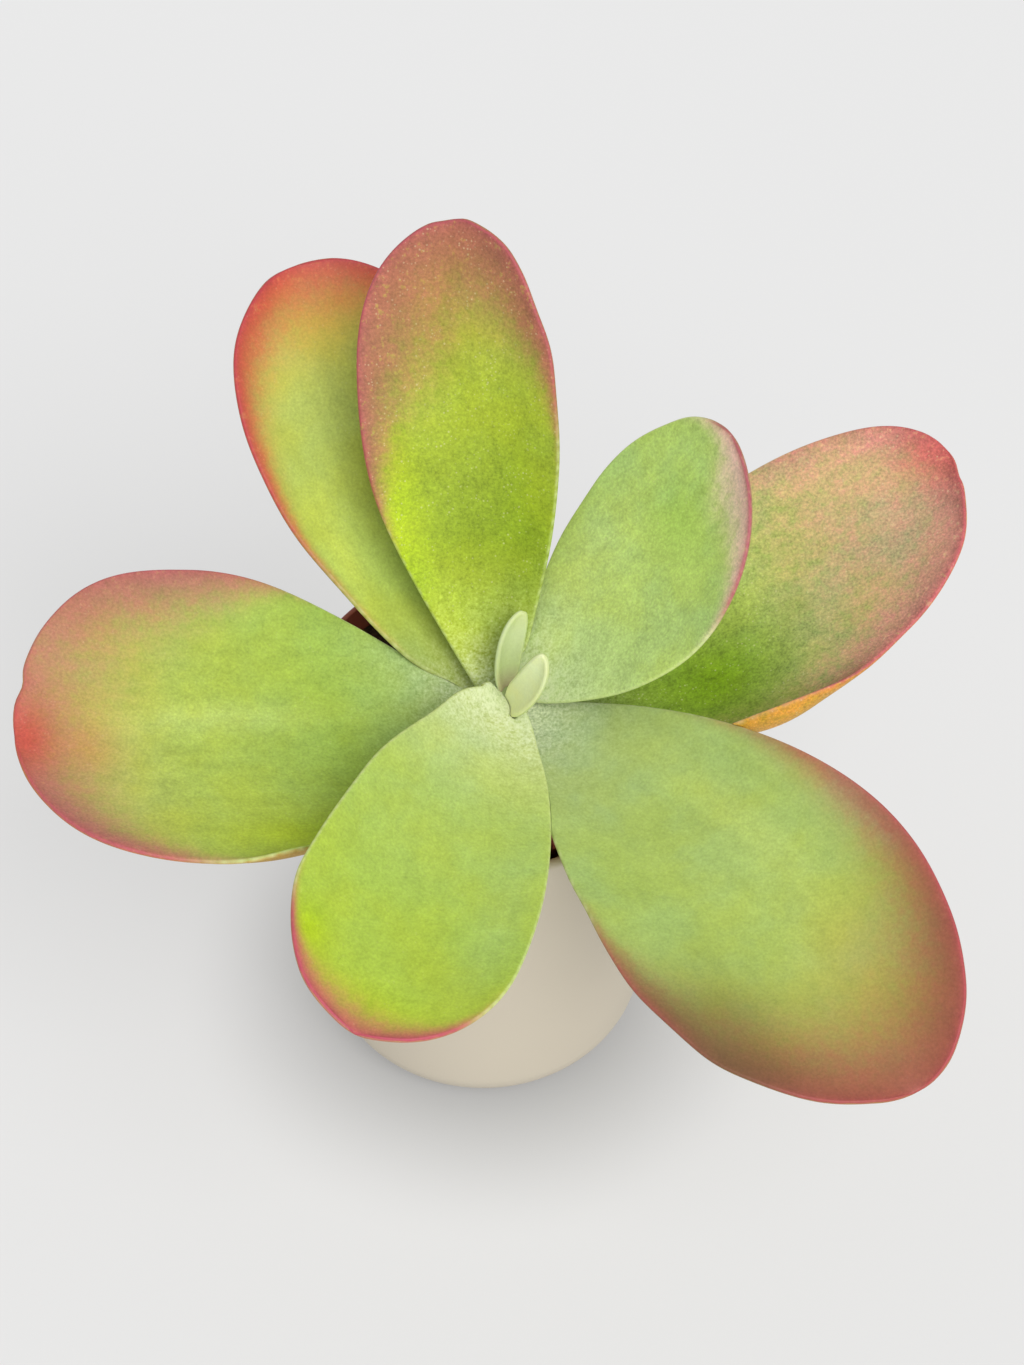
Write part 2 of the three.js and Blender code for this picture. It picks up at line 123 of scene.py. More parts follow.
# One blade each. z: height of its base on the stem. bearing and sweep: compass direction that
# it grows in, and how far that turns by the tip. rise and bend: angle above the horizontal at
# the base, and what the tip adds. belly: where it is widest. neck: share of the width at the
# base. cup: how far the margins turn up, and channel, what the base adds to that. roll and
# twist: turn about the midrib. skew: share of the width that moves from the right margin to the
# left one. clasp: how far the rounded base reaches past its start, round the stem. curl: how
# far one margin rolls up, the left one if it is above zero, with its place and span along the
# blade and how much fuller it is there. notch: a nick in the tip, and its place across in
# millimetres. bulges: places where a margin stands out, as (1 for the left margin or -1 for the
# right one, place along, span along, millimetres). settle: how far the outer part has settled
# from the plain arc, as a vector in millimetres.
LEAVES = {
    "leaf_back_left": dict(
        z=153, bearing=122, sweep=0, rise=37.5, bend=-0.5, length=159, half_width=42,
        belly=0.615, neck=0.15, flare=1, tip=2.45, cup=28, roll=-1, twist=0.5, skew=0,
        thickness=4.6, bulges=((1, 0.09, 0.05, -2.8), (1, 0.4, 0.12, -1.3),
                               (1, 0.5, 0.25, 1.3), (1, 0.96, 0.06, -1), (-1, 0.99, 0.04, 0.8)),
    ),
    "leaf_right_far": dict(
        z=156, bearing=17, sweep=15, rise=17, bend=13.5, length=163, half_width=44,
        belly=0.5, neck=0.145, flare=1.16, tip=2.9, cup=24, roll=13, twist=-8, skew=-0.175,
        thickness=4.8, curl=-98, curl_at=0.41, curl_span=0.31, curl_reach=1.35, notch=1,
        notch_x=-11, settle=(0, 7.7, -9.2), bulges=((-1, 0.965, 0.04, -2.8), (1, 0.87, 0.12, -1.3)),
    ),
    "leaf_left": dict(
        z=157.5, bearing=199, sweep=-10, rise=14, bend=0, length=155, half_width=58,
        belly=0.6, neck=0.16, flare=1.12, tip=2.8, cup=26, roll=-6.5, twist=1.5, skew=-0.01,
        thickness=5, curl=66, curl_at=0.51, curl_span=0.17, curl_reach=0.6, notch=1.5,
        notch_x=-17, bulges=((-1, 0.8, 0.2, 0.7), (-1, 0.95, 0.03, 0.6), (1, 0.74, 0.1, -0.7)),
    ),
    "leaf_back": dict(
        z=162, bearing=107, sweep=-16, rise=58, bend=2, length=157, half_width=33,
        belly=0.69, neck=0.185, flare=1, tip=2.15, cup=28.5, roll=-10.5, twist=-12, skew=0.02,
        thickness=4.6, clasp=4, notch=0.8, notch_x=4,
        bulges=((1, 0.45, 0.18, 2.3), (1, 0.97, 0.05, -0.6), (-1, 0.42, 0.2, 1.1),
                (-1, 0.83, 0.07, -1.1), (-1, 0.96, 0.03, 0.6)),
    ),
    "leaf_right_front": dict(
        z=163, bearing=-37, sweep=-26, rise=3.8, bend=-14.3, length=186, half_width=50.8,
        belly=0.61, neck=0.12, flare=0.97, tip=2, cup=30, roll=8, twist=9, skew=-0.13,
        thickness=4.8, bulges=((1, 0.6, 0.16, 1.2), (1, 0.95, 0.06, 0.6),
                               (-1, 0.8, 0.06, 0.9), (-1, 0.985, 0.03, -1.2)),
    ),
    "leaf_front": dict(
        z=169, start=8.3, bearing=259, sweep=-12.5, rise=7.2, bend=0, length=145,
        half_width=38.3,
        belly=0.71, neck=0.26, flare=0.765, tip=2.1, cup=30, roll=-25, twist=12.5, skew=-0.09,
        thickness=4.4, clasp=7.5, channel=42,
        bulges=((-1, 0.03, 0.07, 2.6), (-1, 0.3, 0.16, 2), (1, 0.07, 0.07, -1.3),
                (-1, 0.83, 0.08, -0.7), (-1, 0.97, 0.03, 0.9)),
    ),
    "leaf_right_upper": dict(
        z=168.5, bearing=26, sweep=2, rise=44, bend=13.7, length=111, half_width=37,
        belly=0.59, neck=0.15, flare=0.86, tip=1.8, cup=14, roll=6.7, twist=-5.3, skew=-0.17,
        thickness=4, clasp=4.5, bulges=((1, 0.5, 0.1, -0.6), (1, 0.75, 0.1, 0.7),
                                        (1, 0.95, 0.06, 1)),
    ),
    "young_leaf_back": dict(
        z=169.6, start=2.5, bearing=87, sweep=-50, rise=72.5, bend=-16, length=28.5,
        half_width=5.5, belly=0.37, neck=0.64, flare=1.04, tip=2.6, cup=47.5, roll=35.5,
        twist=26, skew=0.24, thickness=2.6, margin=1.1, clasp=1.5,
    ),
    "young_leaf_front": dict(
        z=168.2, start=3.5, bearing=-62, sweep=58, rise=60, bend=20, length=36,
        half_width=6.2, belly=0.36, neck=0.64, flare=1.02, tip=2.7, cup=50, roll=79.5,
        twist=-14.5, skew=-0.185, thickness=2.6, margin=1.1, clasp=1.5,
    ),
}

# The colours of each blade, in sRGB hex. body: from the base to the tip. blush and rim: the red
# of the sunburnt zone inside and at the margin. band: triples of a place along the outline, from
# -1 at the base of the right margin by 0 at the tip to 1 at the base of the left one, the depth
# in millimetres at which the blush has faded to half, and its strength. flush: from where to
# where along the blade the whole width starts to blush, and how much. glow: patches of (place
# along, place across, size along and across in millimetres, colour, strength). embers: the same,
# where the blush itself has another colour. under and under_blush: the underside. scars: corky
# spots, as (place along, place across, millimetres). coarse: how strong its grain and mottling
# are. specks: how many pale dots it has.
COATS = {
    "leaf_back_left": dict(
        coarse=0.8, specks=0.4,
        body=("#9BAF50", "#A8BE56", "#B2C260", "#C2C662"), blush="#C14A3C", rim="#B8404A",
        band=((-0.7, 1, 0), (-0.5, 2, 0.5), (-0.2, 9, 1), (0, 14, 1), (0.12, 15, 1),
              (0.24, 9, 1), (0.34, 6, 1), (0.42, 4.4, 0.95), (0.5, 2.8, 0.85), (0.58, 1.5, 0.7),
              (0.7, 1.2, 0.4), (0.9, 1, 0)),
        # The last glow patch, a paler green on the right half, is painted light that fills the
        # shadow leaf_back casts there.
        glow=((0.9, -0.35, 8, 12, "#DD9A34", 0.8), (0.84, -0.2, 10, 16, "#D0B84C", 0.4),
              (0.42, 0.75, 20, 6, "#C6D458", 0.7), (0.6, -0.35, 30, 10, "#BCD07C", 0.6)),
        under="#A8A860", under_blush="#B5674A", scars=((0.93, 0.8, 2.2), (0.975, 0.45, 1.4)),
    ),
    "leaf_right_far": dict(
        coarse=1.8, specks=1.3,
        # The dark first body stop and the dark green glow patch on the right half, a third of the
        # way out, are painted shade under leaf_right_upper.
        body=("#7A9636", "#8FAE46", "#BAC47E", "#D0C49A"), blush="#C8857A", rim="#C05860",
        flush=(0.48, 0.75, 0.42),
        band=((-0.95, 1, 0), (-0.8, 3, 0.4), (-0.62, 6, 0.6), (-0.48, 9, 0.9), (-0.3, 10, 1),
              (-0.15, 10, 1), (-0.05, 12, 1), (0.08, 12, 0.9), (0.2, 8, 0.7), (0.35, 5, 0.5),
              (0.6, 4, 0.4), (0.8, 1, 0)),
        glow=((1.0, -0.1, 9, 18, "#D4786A", 0.6), (0.36, -0.5, 24, 18, "#769C00", 0.95),
              (0.45, 0.5, 22, 24, "#A9C46A", 0.8)),
        embers=((0.97, 0.35, 14, 14, "#C4545A", 0.7), (0.99, -0.4, 12, 12, "#BE5450", 0.6)),
        under="#CDA62E", under_blush="#CC7A3C", scars=((0.985, -0.2, 1.5),),
    ),
    "leaf_left": dict(
        coarse=1, specks=0.4,
        body=("#9BB877", "#9BB952", "#ABBF57", "#BDBB6B"), blush="#AE6862", rim="#B85660",
        band=((-0.7, 1, 0), (-0.64, 1.6, 0.5), (-0.58, 6, 0.85), (-0.53, 10, 0.95),
              (-0.42, 15, 1), (-0.3, 18, 0.95), (-0.16, 22, 0.75), (0.05, 17, 0.9),
              (0.2, 13, 1), (0.3, 9, 1), (0.36, 6, 0.9), (0.42, 3, 0.6), (0.48, 1, 0.2),
              (0.54, 1, 0)),
        glow=((0.98, 0.05, 12, 14, "#D2583C", 0.85), (0.86, 0.1, 10, 12, "#CB9A50", 0.6),
              (0.6, -0.1, 34, 6, "#C2D67C", 0.5), (0.45, 0.85, 26, 8, "#AFC81E", 0.7)),
        embers=((0.98, 0.1, 8, 13, "#C8463A", 0.7), (0.8, -0.75, 26, 14, "#B4605E", 0.6)),
        under="#B08F3E", under_blush="#B9743C", scars=((0.975, -0.35, 1.6), (0.86, -0.9, 1.8)),
    ),
    "leaf_back": dict(
        coarse=1.4, specks=1.3,
        body=("#9DB04C", "#90A828", "#A6BA3C", "#B2A052"), blush="#A86652", rim="#B4545E",
        band=((-0.6, 1, 0), (-0.48, 1.2, 0.5), (-0.4, 3, 0.85), (-0.33, 7, 0.95),
              (-0.2, 15, 1), (0, 29, 1), (0.18, 26, 1), (0.32, 21, 1), (0.4, 15, 1),
              (0.46, 8.5, 1), (0.54, 4.5, 0.95), (0.61, 1.8, 0.8), (0.7, 1, 0)),
        glow=((0.14, 0.8, 22, 10, "#B4CA20", 0.9), (0.34, 0.97, 30, 9, "#B0CC00", 1),
              (0.56, 0.75, 9, 6, "#A8C010", 0.8),
              (0.4, -0.6, 30, 9, "#8AA61E", 0.6)),
        under="#9DAA4E", under_blush="#A3684A", scars=((0.43, 0.98, 1.0),),
    ),
    "leaf_right_front": dict(
        coarse=0.75, specks=0.1,
        body=("#99AE80", "#A3BC6C", "#A8BF64", "#A6A254"), blush="#985443", rim="#B44C54",
        band=((-0.66, 1, 0), (-0.57, 2, 0.7), (-0.5, 6, 0.9), (-0.4, 11, 1), (-0.28, 15, 1),
              (-0.17, 20, 1), (-0.05, 23, 1), (0.05, 25, 1), (0.14, 21, 1), (0.27, 15, 1),
              (0.38, 11, 0.95), (0.48, 8, 0.85), (0.58, 4.5, 0.75), (0.68, 2, 0.5), (0.8, 1, 0)),
        # The dark olive glow patch and the dark brown ember on the right margin, three quarters
        # out, are painted shade where the margin curves down away from the light.
        glow=((0.75, 0.2, 20, 14, "#B4AE5C", 0.5), (0.45, 0.25, 34, 8, "#B9CC6C", 0.6),
              (0.5, -0.6, 50, 12, "#A0BC66", 0.6), (0.8, -0.8, 36, 14, "#767236", 0.7),
              (0.55, 0.97, 40, 9, "#D0B48C", 0.8)),
        embers=((0.8, -0.95, 54, 14, "#705236", 0.88), (0.95, -0.3, 14, 16, "#9C5444", 0.6)),
        under="#A3A45A", under_blush="#A96A4A", scars=((0.36, 0.98, 1.7), (0.66, 0.99, 1.4)),
    ),
    "leaf_front": dict(
        coarse=0.8, specks=0.3,
        body=("#BFCF92", "#A9C266", "#A6C14F", "#A9C13C"), blush="#BC665A", rim="#B84860",
        band=((-0.38, 1, 0), (-0.32, 1, 0.4), (-0.27, 1.2, 0.8), (-0.22, 2, 1),
              (-0.17, 4, 1), (-0.1, 6.8, 1), (0, 7.8, 1), (0.06, 5.8, 1),
              (0.12, 4, 1), (0.18, 2, 0.9), (0.24, 1.1, 0.5), (0.32, 1, 0)),
        glow=((0.86, -0.85, 11, 7, "#AECA00", 0.8), (0.93, -0.1, 8, 20, "#B0CA1E", 0.7),
              (0.5, 0.7, 40, 9, "#A4C276", 0.5)),
        under="#A9B368", under_blush="#B07058", scars=((0.975, -0.25, 2.2), (0.985, 0.3, 1.4)),
    ),
    "leaf_right_upper": dict(
        coarse=1.1, specks=0.7,
        body=("#BFD593", "#BBD580", "#B3D27C", "#B0CE74"), blush="#EEC6BC", rim="#A84A58",
        band=((-0.55, 1, 0), (-0.48, 1, 0.4), (-0.4, 2.2, 0.85), (-0.32, 4.4, 1),
              (-0.22, 7.5, 1), (-0.13, 12, 1), (-0.05, 9, 1), (0.04, 3, 0.9), (0.14, 1, 0)),
        glow=((0.4, 0.5, 30, 12, "#BDD37E", 0.6), (0.72, -0.1, 12, 14, "#9CC65A", 0.5)),
        under="#A6B472", under_blush="#B07868", scars=((0.86, -0.97, 1.8), (0.8, -0.98, 1.2)),
    ),
    "young_leaf_back": dict(
        coarse=0.25, specks=0.2,
        # The brownish first body stop is painted shade, where the base sits in the crevice between
        # the young pair.
        body=("#A89478", "#BAC78E", "#C4D09C", "#C8D4A2"), blush="#D2D890", rim="#DCE39C",
        band=((-1, 1, 0), (1, 1, 0)), glow=(), under="#C4D2A4", under_blush="#C4D2A4",
        scars=(),
    ),
    "young_leaf_front": dict(
        coarse=0.25, specks=0.2,
        body=("#E2E8BE", "#E6ECC6", "#E8F0CA", "#E8F1CC"), blush="#D2D890", rim="#DCE39C",
        band=((-1, 1, 0), (1, 1, 0)), glow=(), under="#CBD8A8", under_blush="#CBD8A8",
        scars=(),
    ),
}
PALE_MARGIN = "#D3DE9E"


# ------------------------------------------------------------------ small helpers

def linear(hex_colour):
    """An sRGB hex colour as linear red, green and blue."""
    parts = np.array([int(hex_colour[i:i + 2], 16) for i in (1, 3, 5)]) / 255
    return np.where(parts <= 0.04045, parts / 12.92, ((parts + 0.055) / 1.055) ** 2.4)


def rgba(hex_colour):
    return (*linear(hex_colour).tolist(), 1.0)


def smooth(low, high, x):
    u = np.clip((x - low) / (high - low), 0, 1)
    return u * u * (3 - 2 * u)


def mix(a, b, share):
    share = np.asarray(share)[..., None]
    return a * (1 - share) + b * share


def new_mesh_object(name, points_mm, faces, smooth_shading=True):
    """A mesh object at the origin, from points in millimetres."""
    mesh = bpy.data.meshes.new(name)
    mesh.from_pydata((np.asarray(points_mm) * MM).tolist(), [], [tuple(map(int, f)) for f in faces])
    mesh.validate()
    mesh.polygons.foreach_set("use_smooth", [smooth_shading] * len(mesh.polygons))
    mesh.update()
    piece = bpy.data.objects.new(name, mesh)
    bpy.context.scene.collection.objects.link(piece)
    return piece


def paint(piece, name, values):
    """Stores one value, or one linear colour, at each point of the mesh."""
    values = np.asarray(values, dtype=np.float32)
    if values.ndim == 1:
        layer = piece.data.attributes.new(name, "FLOAT", "POINT")
        layer.data.foreach_set("value", values)
    else:
        full = np.ones((len(values), 4), dtype=np.float32)
        full[:, :3] = values
        layer = piece.data.attributes.new(name, "FLOAT_COLOR", "POINT")
        layer.data.foreach_set("color", full.ravel())


def seat(piece, material, slot, *nodes):
    """Gives a finished piece its material and body, and hides the nodes that it stands for. The
    slot is not used.
    """
    piece.data.materials.clear()
    piece.data.materials.append(material)
    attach(piece, BODY)
    if nodes:
        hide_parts(*nodes)


def apply_modifiers(piece):
    """Makes what the piece's modifiers give its plain mesh."""
    made = bpy.data.meshes.new_from_object(
        piece.evaluated_get(bpy.context.evaluated_depsgraph_get()))
    piece.modifiers.clear()
    piece.data = made


def cut_away(piece, tools, solver):
    for tool in tools:
        cut = piece.modifiers.new("cut", "BOOLEAN")
        cut.operation = "DIFFERENCE"
        cut.solver = solver
        cut.object = tool
    apply_modifiers(piece)


def ring_faces(rings, sides, first=0):
    """Quads between closed rings of points, the same number in each."""
    i = np.arange(rings - 1)[:, None] * sides + first
    k = np.arange(sides)[None, :]
    after = (k + 1) % sides
    quads = np.stack([i + k, i + after, i + sides + after, i + sides + k], -1)
    return quads.reshape(-1, 4).tolist()


def ball_faces(rings, sides):
    """Faces between rings, and to the two poles that close them, whose points come last."""
    faces = ring_faces(rings, sides)
    pole, last = rings * sides, (rings - 1) * sides
    for k in range(sides):
        after = (k + 1) % sides
        faces += [(pole, after, k), (pole + 1, last + k, last + after)]
    return faces


def flipped(faces):
    return [face[::-1] for face in faces]


def arc(cx, cz, radius, start, end, steps):
    angles = np.radians(np.linspace(start, end, steps + 1))
    return [(cx + radius * math.cos(a), cz + radius * math.sin(a)) for a in angles]


def circle(count, radius, z, centre=(0, 0)):
    turn = np.linspace(0, 2 * np.pi, count, endpoint=False)
    return np.stack([centre[0] + radius * np.cos(turn), centre[1] + radius * np.sin(turn),
                     np.full(count, z)], -1)


def turned(name, profile, sides):
    """A closed surface of revolution. The profile starts and ends on the axis."""
    rings = [circle(sides, radius, z) for radius, z in profile[1:-1]]
    poles = [[[0, 0, profile[0][1]], [0, 0, profile[-1][1]]]]
    return new_mesh_object(name, np.concatenate(rings + poles), ball_faces(len(rings), sides))


def stretch(profile, longest):
    """The profile with extra points, so that no step is longer than that."""
    dense = [profile[0]]
    for a, b in zip(profile[:-1], profile[1:]):
        steps = max(1, math.ceil(math.dist(a, b) / longest))
        dense += [(a[0] + (b[0] - a[0]) * k / steps, a[1] + (b[1] - a[1]) * k / steps)
                  for k in range(1, steps + 1)]
    return dense


# ------------------------------------------------------------------ node trees

def put(tree, kind, inputs=None, out=0, **settings):
    """Adds a node and returns one of its outputs. settings are its properties, and inputs its
    sockets' values or links."""
    node = tree.nodes.new(kind)
    for key, value in settings.items():
        setattr(node, key, value)
    for key, value in (inputs or {}).items():
        if isinstance(value, bpy.types.NodeSocket):
            tree.links.new(value, node.inputs[key])
        else:
            node.inputs[key].default_value = value
    return node.outputs[out] if node.outputs else None


def new_material(name, finish, *given):
    """A material whose shader has the sockets that finish returns for the values given."""
    material = bpy.data.materials.new(name)
    material.use_nodes = True
    material.node_tree.nodes.clear()
    add = partial(put, material.node_tree)
    shader = add("ShaderNodeBsdfPrincipled", finish(add, *given))
    add("ShaderNodeOutputMaterial", {"Surface": shader})
    return material


def new_geometry_tree(name, **inputs):
    """A tree of geometry nodes with the named inputs, what adds a node to it, and the sockets
    that give those inputs."""
    tree = bpy.data.node_groups.new(name, "GeometryNodeTree")
    for socket, kind in {"Geometry": "Geometry", **inputs}.items():
        tree.interface.new_socket(socket, in_out="INPUT", socket_type="NodeSocket" + kind)
    tree.interface.new_socket("Geometry", in_out="OUTPUT", socket_type="NodeSocketGeometry")
    add = partial(put, tree)
    return tree, add, add("NodeGroupInput").node.outputs


def end_geometry_tree(add, instances, material):
    """Turns the instances into plain mesh of one material, which the tree gives out."""
    real = add("GeometryNodeRealizeInstances", {"Geometry": instances})
    coated = add("GeometryNodeSetMaterial", {"Geometry": real, "Material": material})
    add("NodeGroupOutput", {"Geometry": coated})


def from_tree(name, tree, mesh, values):
    """The plain mesh that a node tree makes of mesh, with the named inputs set."""
    piece = bpy.data.objects.new(name, mesh)
    bpy.context.scene.collection.objects.link(piece)
    modifier = piece.modifiers.new(tree.name, "NODES")
    modifier.node_group = tree
    sockets = {s.name: s.identifier for s in tree.interface.items_tree
               if s.item_type == "SOCKET" and s.in_out == "INPUT"}
    for key, value in values.items():
        modifier[sockets[key]] = value
    apply_modifiers(piece)
    return piece


# ------------------------------------------------------------------ materials

def leaf_skin(add, settings):
    """Living succulent skin, grown: wax over soft flesh. It gives a satin, faintly milky
    surface with a fine grain, a mottled blush, pale dots and powder near the base."""
    here = add("ShaderNodeTexCoord", out="Object")
    skin = {
        name: add("ShaderNodeAttribute", out=kind, attribute_name=name)
        for kind, names in (("Vector", ["spread"]),
                            ("Fac", ["coarse", "specks", "blush", "powder", "rim", "scar"]),
                            ("Color", ["body_tint", "blush_tint", "rim_tint"]))
        for name in names}
    blush, coarse, specks = skin["blush"], skin["coarse"], skin["specks"]
    along = add("ShaderNodeMapping", {"Vector": skin["spread"], "Scale": (1, 0.22, 1)})

    # Blotches by their size in millimetres. The streaks are long along the blade.
    wide, middle, small, grain, streak = (
        add("ShaderNodeTexNoise", {"Vector": where, "Scale": 1 / (size * BLOTCH),
                                   "Detail": detail, "Roughness": rough})
        for where, size, detail, rough in (
            (here, 16, 3, 0.55), (here, 4.5, 4, 0.6), (here, 1.5, 3, 0.6),
            (here, 0.55, 2, 0.65), (along, 2.6, 3, 0.55)))

    # Sums of them: the mottling of the blush, the unevenness of the whole skin by a few per
    # cent, the rubbing of the powder, and the ragged outline of the scars.
    sums = []
    for total, terms in (
            (-1.55, ((streak, 0.6), (small, 1.4), (middle, 1.1))),
            (-0.98, ((wide, 0.3), (middle, 0.36), (streak, 0.26), (small, 0.34), (grain, 0.7))),
            (-1.0, ((small, 1.5), (grain, 2.2))),
            (skin["scar"], ((small, 0.9),))):
        for noise, weight in terms:
            total = add("ShaderNodeMath", {0: noise, 1: weight, 2: total},
                        operation="MULTIPLY_ADD")
        sums.append(total)
    mottle, uneven, rubbed, ragged = sums

    # Pale dots of wax, from a quarter to half a millimetre across, in loose drifts.
    cells = add("ShaderNodeTexVoronoi", {"Vector": here, "Scale": 1 / (1.25 * MM)}).node.outputs
    chance = add("ShaderNodeSeparateColor", {0: cells["Color"]})
    reach = add("ShaderNodeMath", {0: chance, 1: 0.26, 2: 0.02}, operation="MULTIPLY_ADD")
    inside = add("ShaderNodeMath", {0: reach, 1: cells["Distance"]}, operation="SUBTRACT")
    patches, spots, dot, drift, scar = (
        add("ShaderNodeMapRange", {"Value": value, "From Min": low, "From Max": high},
            interpolation_type="SMOOTHSTEP")
        for value, low, high in (
            (wide, 0.35, 0.65), (small, 0.55, 0.70), (inside, -0.09, 0.09),
            (middle, 0.40, 0.62), (ragged, 0.85, 1.15)))

    # Products: where the blush fades, the spots in it that stayed green, the dots, the powder
    # and the fine relief.
    unblushed = add("ShaderNodeMath", {0: 1.0, 1: blush}, operation="SUBTRACT")
    products = []
    for product, *others in (
            (blush, unblushed, coarse, 2.2), (spots, 0.3, specks),
            (dot, drift, settings.flecks, specks), (skin["powder"], rubbed, settings.powder),
            (grain, coarse)):
        for other in others:
            product = add("ShaderNodeMath", {0: product, 1: other}, operation="MULTIPLY")
        products.append(product)
    fading, green_spots, dots, dust, fine = products
    dust = add("ShaderNodeMapRange", {"Value": dust}, interpolation_type="SMOOTHSTEP")

    # The blush lies in the flesh under the wax. It is solid at the margin, mottled where it
    # fades, and broken by small spots that stayed green.
    reddened = add("ShaderNodeMath", {0: fading, 1: mottle, 2: blush}, operation="MULTIPLY_ADD")
    unbroken = add("ShaderNodeMath", {0: 0.97, 1: green_spots}, operation="SUBTRACT")
    reddened = add("ShaderNodeMath", {0: reddened, 1: unbroken}, operation="MULTIPLY")
    colour = add("ShaderNodeMix", {0: patches, 6: skin["body_tint"], 7: rgba("#FFF9DC")}, out=2,
                 data_type="RGBA", blend_type="MULTIPLY")
    colour = add("ShaderNodeMix", {0: reddened, 6: colour, 7: skin["blush_tint"]}, out=2,
                 data_type="RGBA")
    shade = add("ShaderNodeMath", {0: uneven, 1: coarse, 2: 1.0}, operation="MULTIPLY_ADD")
    colour = add("ShaderNodeVectorMath", {0: colour, "Scale": shade}, operation="SCALE")
    for share, layer in ((dots, rgba("#E9E4B4")), (dust, rgba("#DDE4BE")),
                         (skin["rim"], skin["rim_tint"]), (scar, rgba("#7C5648"))):
        colour = add("ShaderNodeMix", {0: share, 6: colour, 7: layer}, out=2, data_type="RGBA")

    rough = add("ShaderNodeMath", {0: middle, 1: 0.16, 2: 0.42}, operation="MULTIPLY_ADD")
    rough = add("ShaderNodeMath", {0: dust, 1: 0.25, 2: rough}, operation="MULTIPLY_ADD")
    height = add("ShaderNodeMath", {0: small, 1: 0.5}, operation="MULTIPLY")
    height = add("ShaderNodeMath", {0: fine, 1: 0.6, 2: height}, operation="MULTIPLY_ADD")
    bump = add("ShaderNodeBump", {"Height": height, "Strength": 0.3, "Distance": 0.15 * MM})
    return {"Base Color": colour, "Roughness": rough, "Normal": bump, "IOR": 1.42,
            "Specular IOR Level": 0.4, "Subsurface Weight": 0.1,
            "Subsurface Radius": (0.9, 1.0, 0.3), "Subsurface Scale": 2 * MM}


def stem_skin(add):
    """Living succulent stem: green skin with corky brown scars where leaves have fallen."""
    here = add("ShaderNodeTexCoord", out="Object")
    grain = add("ShaderNodeTexNoise", {
        "Vector": here, "Scale": 1 / (1.2 * BLOTCH), "Detail": 3, "Roughness": 0.55})
    scar = add("ShaderNodeAttribute", out="Fac", attribute_name="scar")
    ragged = add("ShaderNodeMath", {0: grain, 1: 0.5, 2: scar}, operation="MULTIPLY_ADD")
    cork = add("ShaderNodeMapRange", {"Value": ragged, "From Min": 0.45, "From Max": 0.85},
               interpolation_type="SMOOTHSTEP")
    colour = rgba("#7E9150")
    for share, layer in ((grain, "#A9B77C"), (cork, "#75603F")):
        colour = add("ShaderNodeMix", {0: share, 6: colour, 7: rgba(layer)}, out=2,
                     data_type="RGBA")
    bump = add("ShaderNodeBump", {"Height": grain, "Strength": 0.5, "Distance": 0.3 * MM})
    return {"Base Color": colour, "Roughness": 0.6, "Normal": bump}


def cover_pot_glaze(add, settings):
    """Stoneware, cast and matt-glazed: an even cream with a dry, velvety surface, sparse pale
    brown specks, and bare bisque where it stands."""
    here = add("ShaderNodeTexCoord", out="Object")
    broad, grain, iron = (
        add("ShaderNodeTexNoise", {"Vector": here, "Scale": 1 / (size * BLOTCH),
                                   "Detail": detail, "Roughness": 0.55})
        for size, detail in ((30, 3), (0.7, 3), (0.5, 1)))
    up = add("ShaderNodeSeparateXYZ", {0: here}, out="Z")
    speck, foot = (
        add("ShaderNodeMapRange", {"Value": value, "From Min": low, "From Max": high,
                                   "To Max": most}, interpolation_type="SMOOTHSTEP")
        for value, low, high, most in ((iron, 0.74, 0.80, 0.18), (up, 1.1 * MM, 0.5 * MM, 1)))
    colour = (*[c * 0.955 for c in settings.glaze], 1)
    for share, layer in ((broad, (*settings.glaze, 1)), (speck, rgba("#9C8A70")),
                         (foot, rgba("#C9B294"))):
        colour = add("ShaderNodeMix", {0: share, 6: colour, 7: layer}, out=2, data_type="RGBA")
    rough = add("ShaderNodeMath", {0: foot, 1: 0.3, 2: 0.5}, operation="MULTIPLY_ADD")
    height = add("ShaderNodeMath", {0: grain, 1: 0.12}, operation="MULTIPLY")
    height = add("ShaderNodeMath", {0: broad, 1: 1.2, 2: height}, operation="MULTIPLY_ADD")
    bump = add("ShaderNodeBump", {"Height": height, "Strength": 0.3, "Distance": 0.5 * MM})
    return {"Base Color": colour, "Roughness": rough, "Normal": bump, "Specular IOR Level": 0.4}


def nursery_pot_plastic(add, settings):
    """Polypropylene, injection-moulded: brick red, satin, slightly streaked by the flow, with
    a thin dusting of dried potting mix."""
    here = add("ShaderNodeTexCoord", out="Object")
    flow, grain = (
        add("ShaderNodeTexNoise", {"Vector": here, "Scale": 1 / (size * BLOTCH), "Detail": 3,
                                   "Roughness": 0.55}) for size in (8, 0.6))
    dust = add("ShaderNodeMapRange", {"Value": grain, "From Min": 0.55, "From Max": 0.75,
                                      "To Max": 0.22}, interpolation_type="SMOOTHSTEP")
    colour = (*[c * 0.78 for c in settings.plastic], 1)
    for share, layer in ((flow, (*settings.plastic, 1)), (dust, rgba("#8A6A58"))):
        colour = add("ShaderNodeMix", {0: share, 6: colour, 7: layer}, out=2, data_type="RGBA")
    rough = add("ShaderNodeMath", {0: grain, 1: 0.2, 2: 0.36}, operation="MULTIPLY_ADD")
    bump = add("ShaderNodeBump", {"Height": grain, "Strength": 0.3, "Distance": 0.1 * MM})
    return {"Base Color": colour, "Roughness": rough, "Normal": bump}


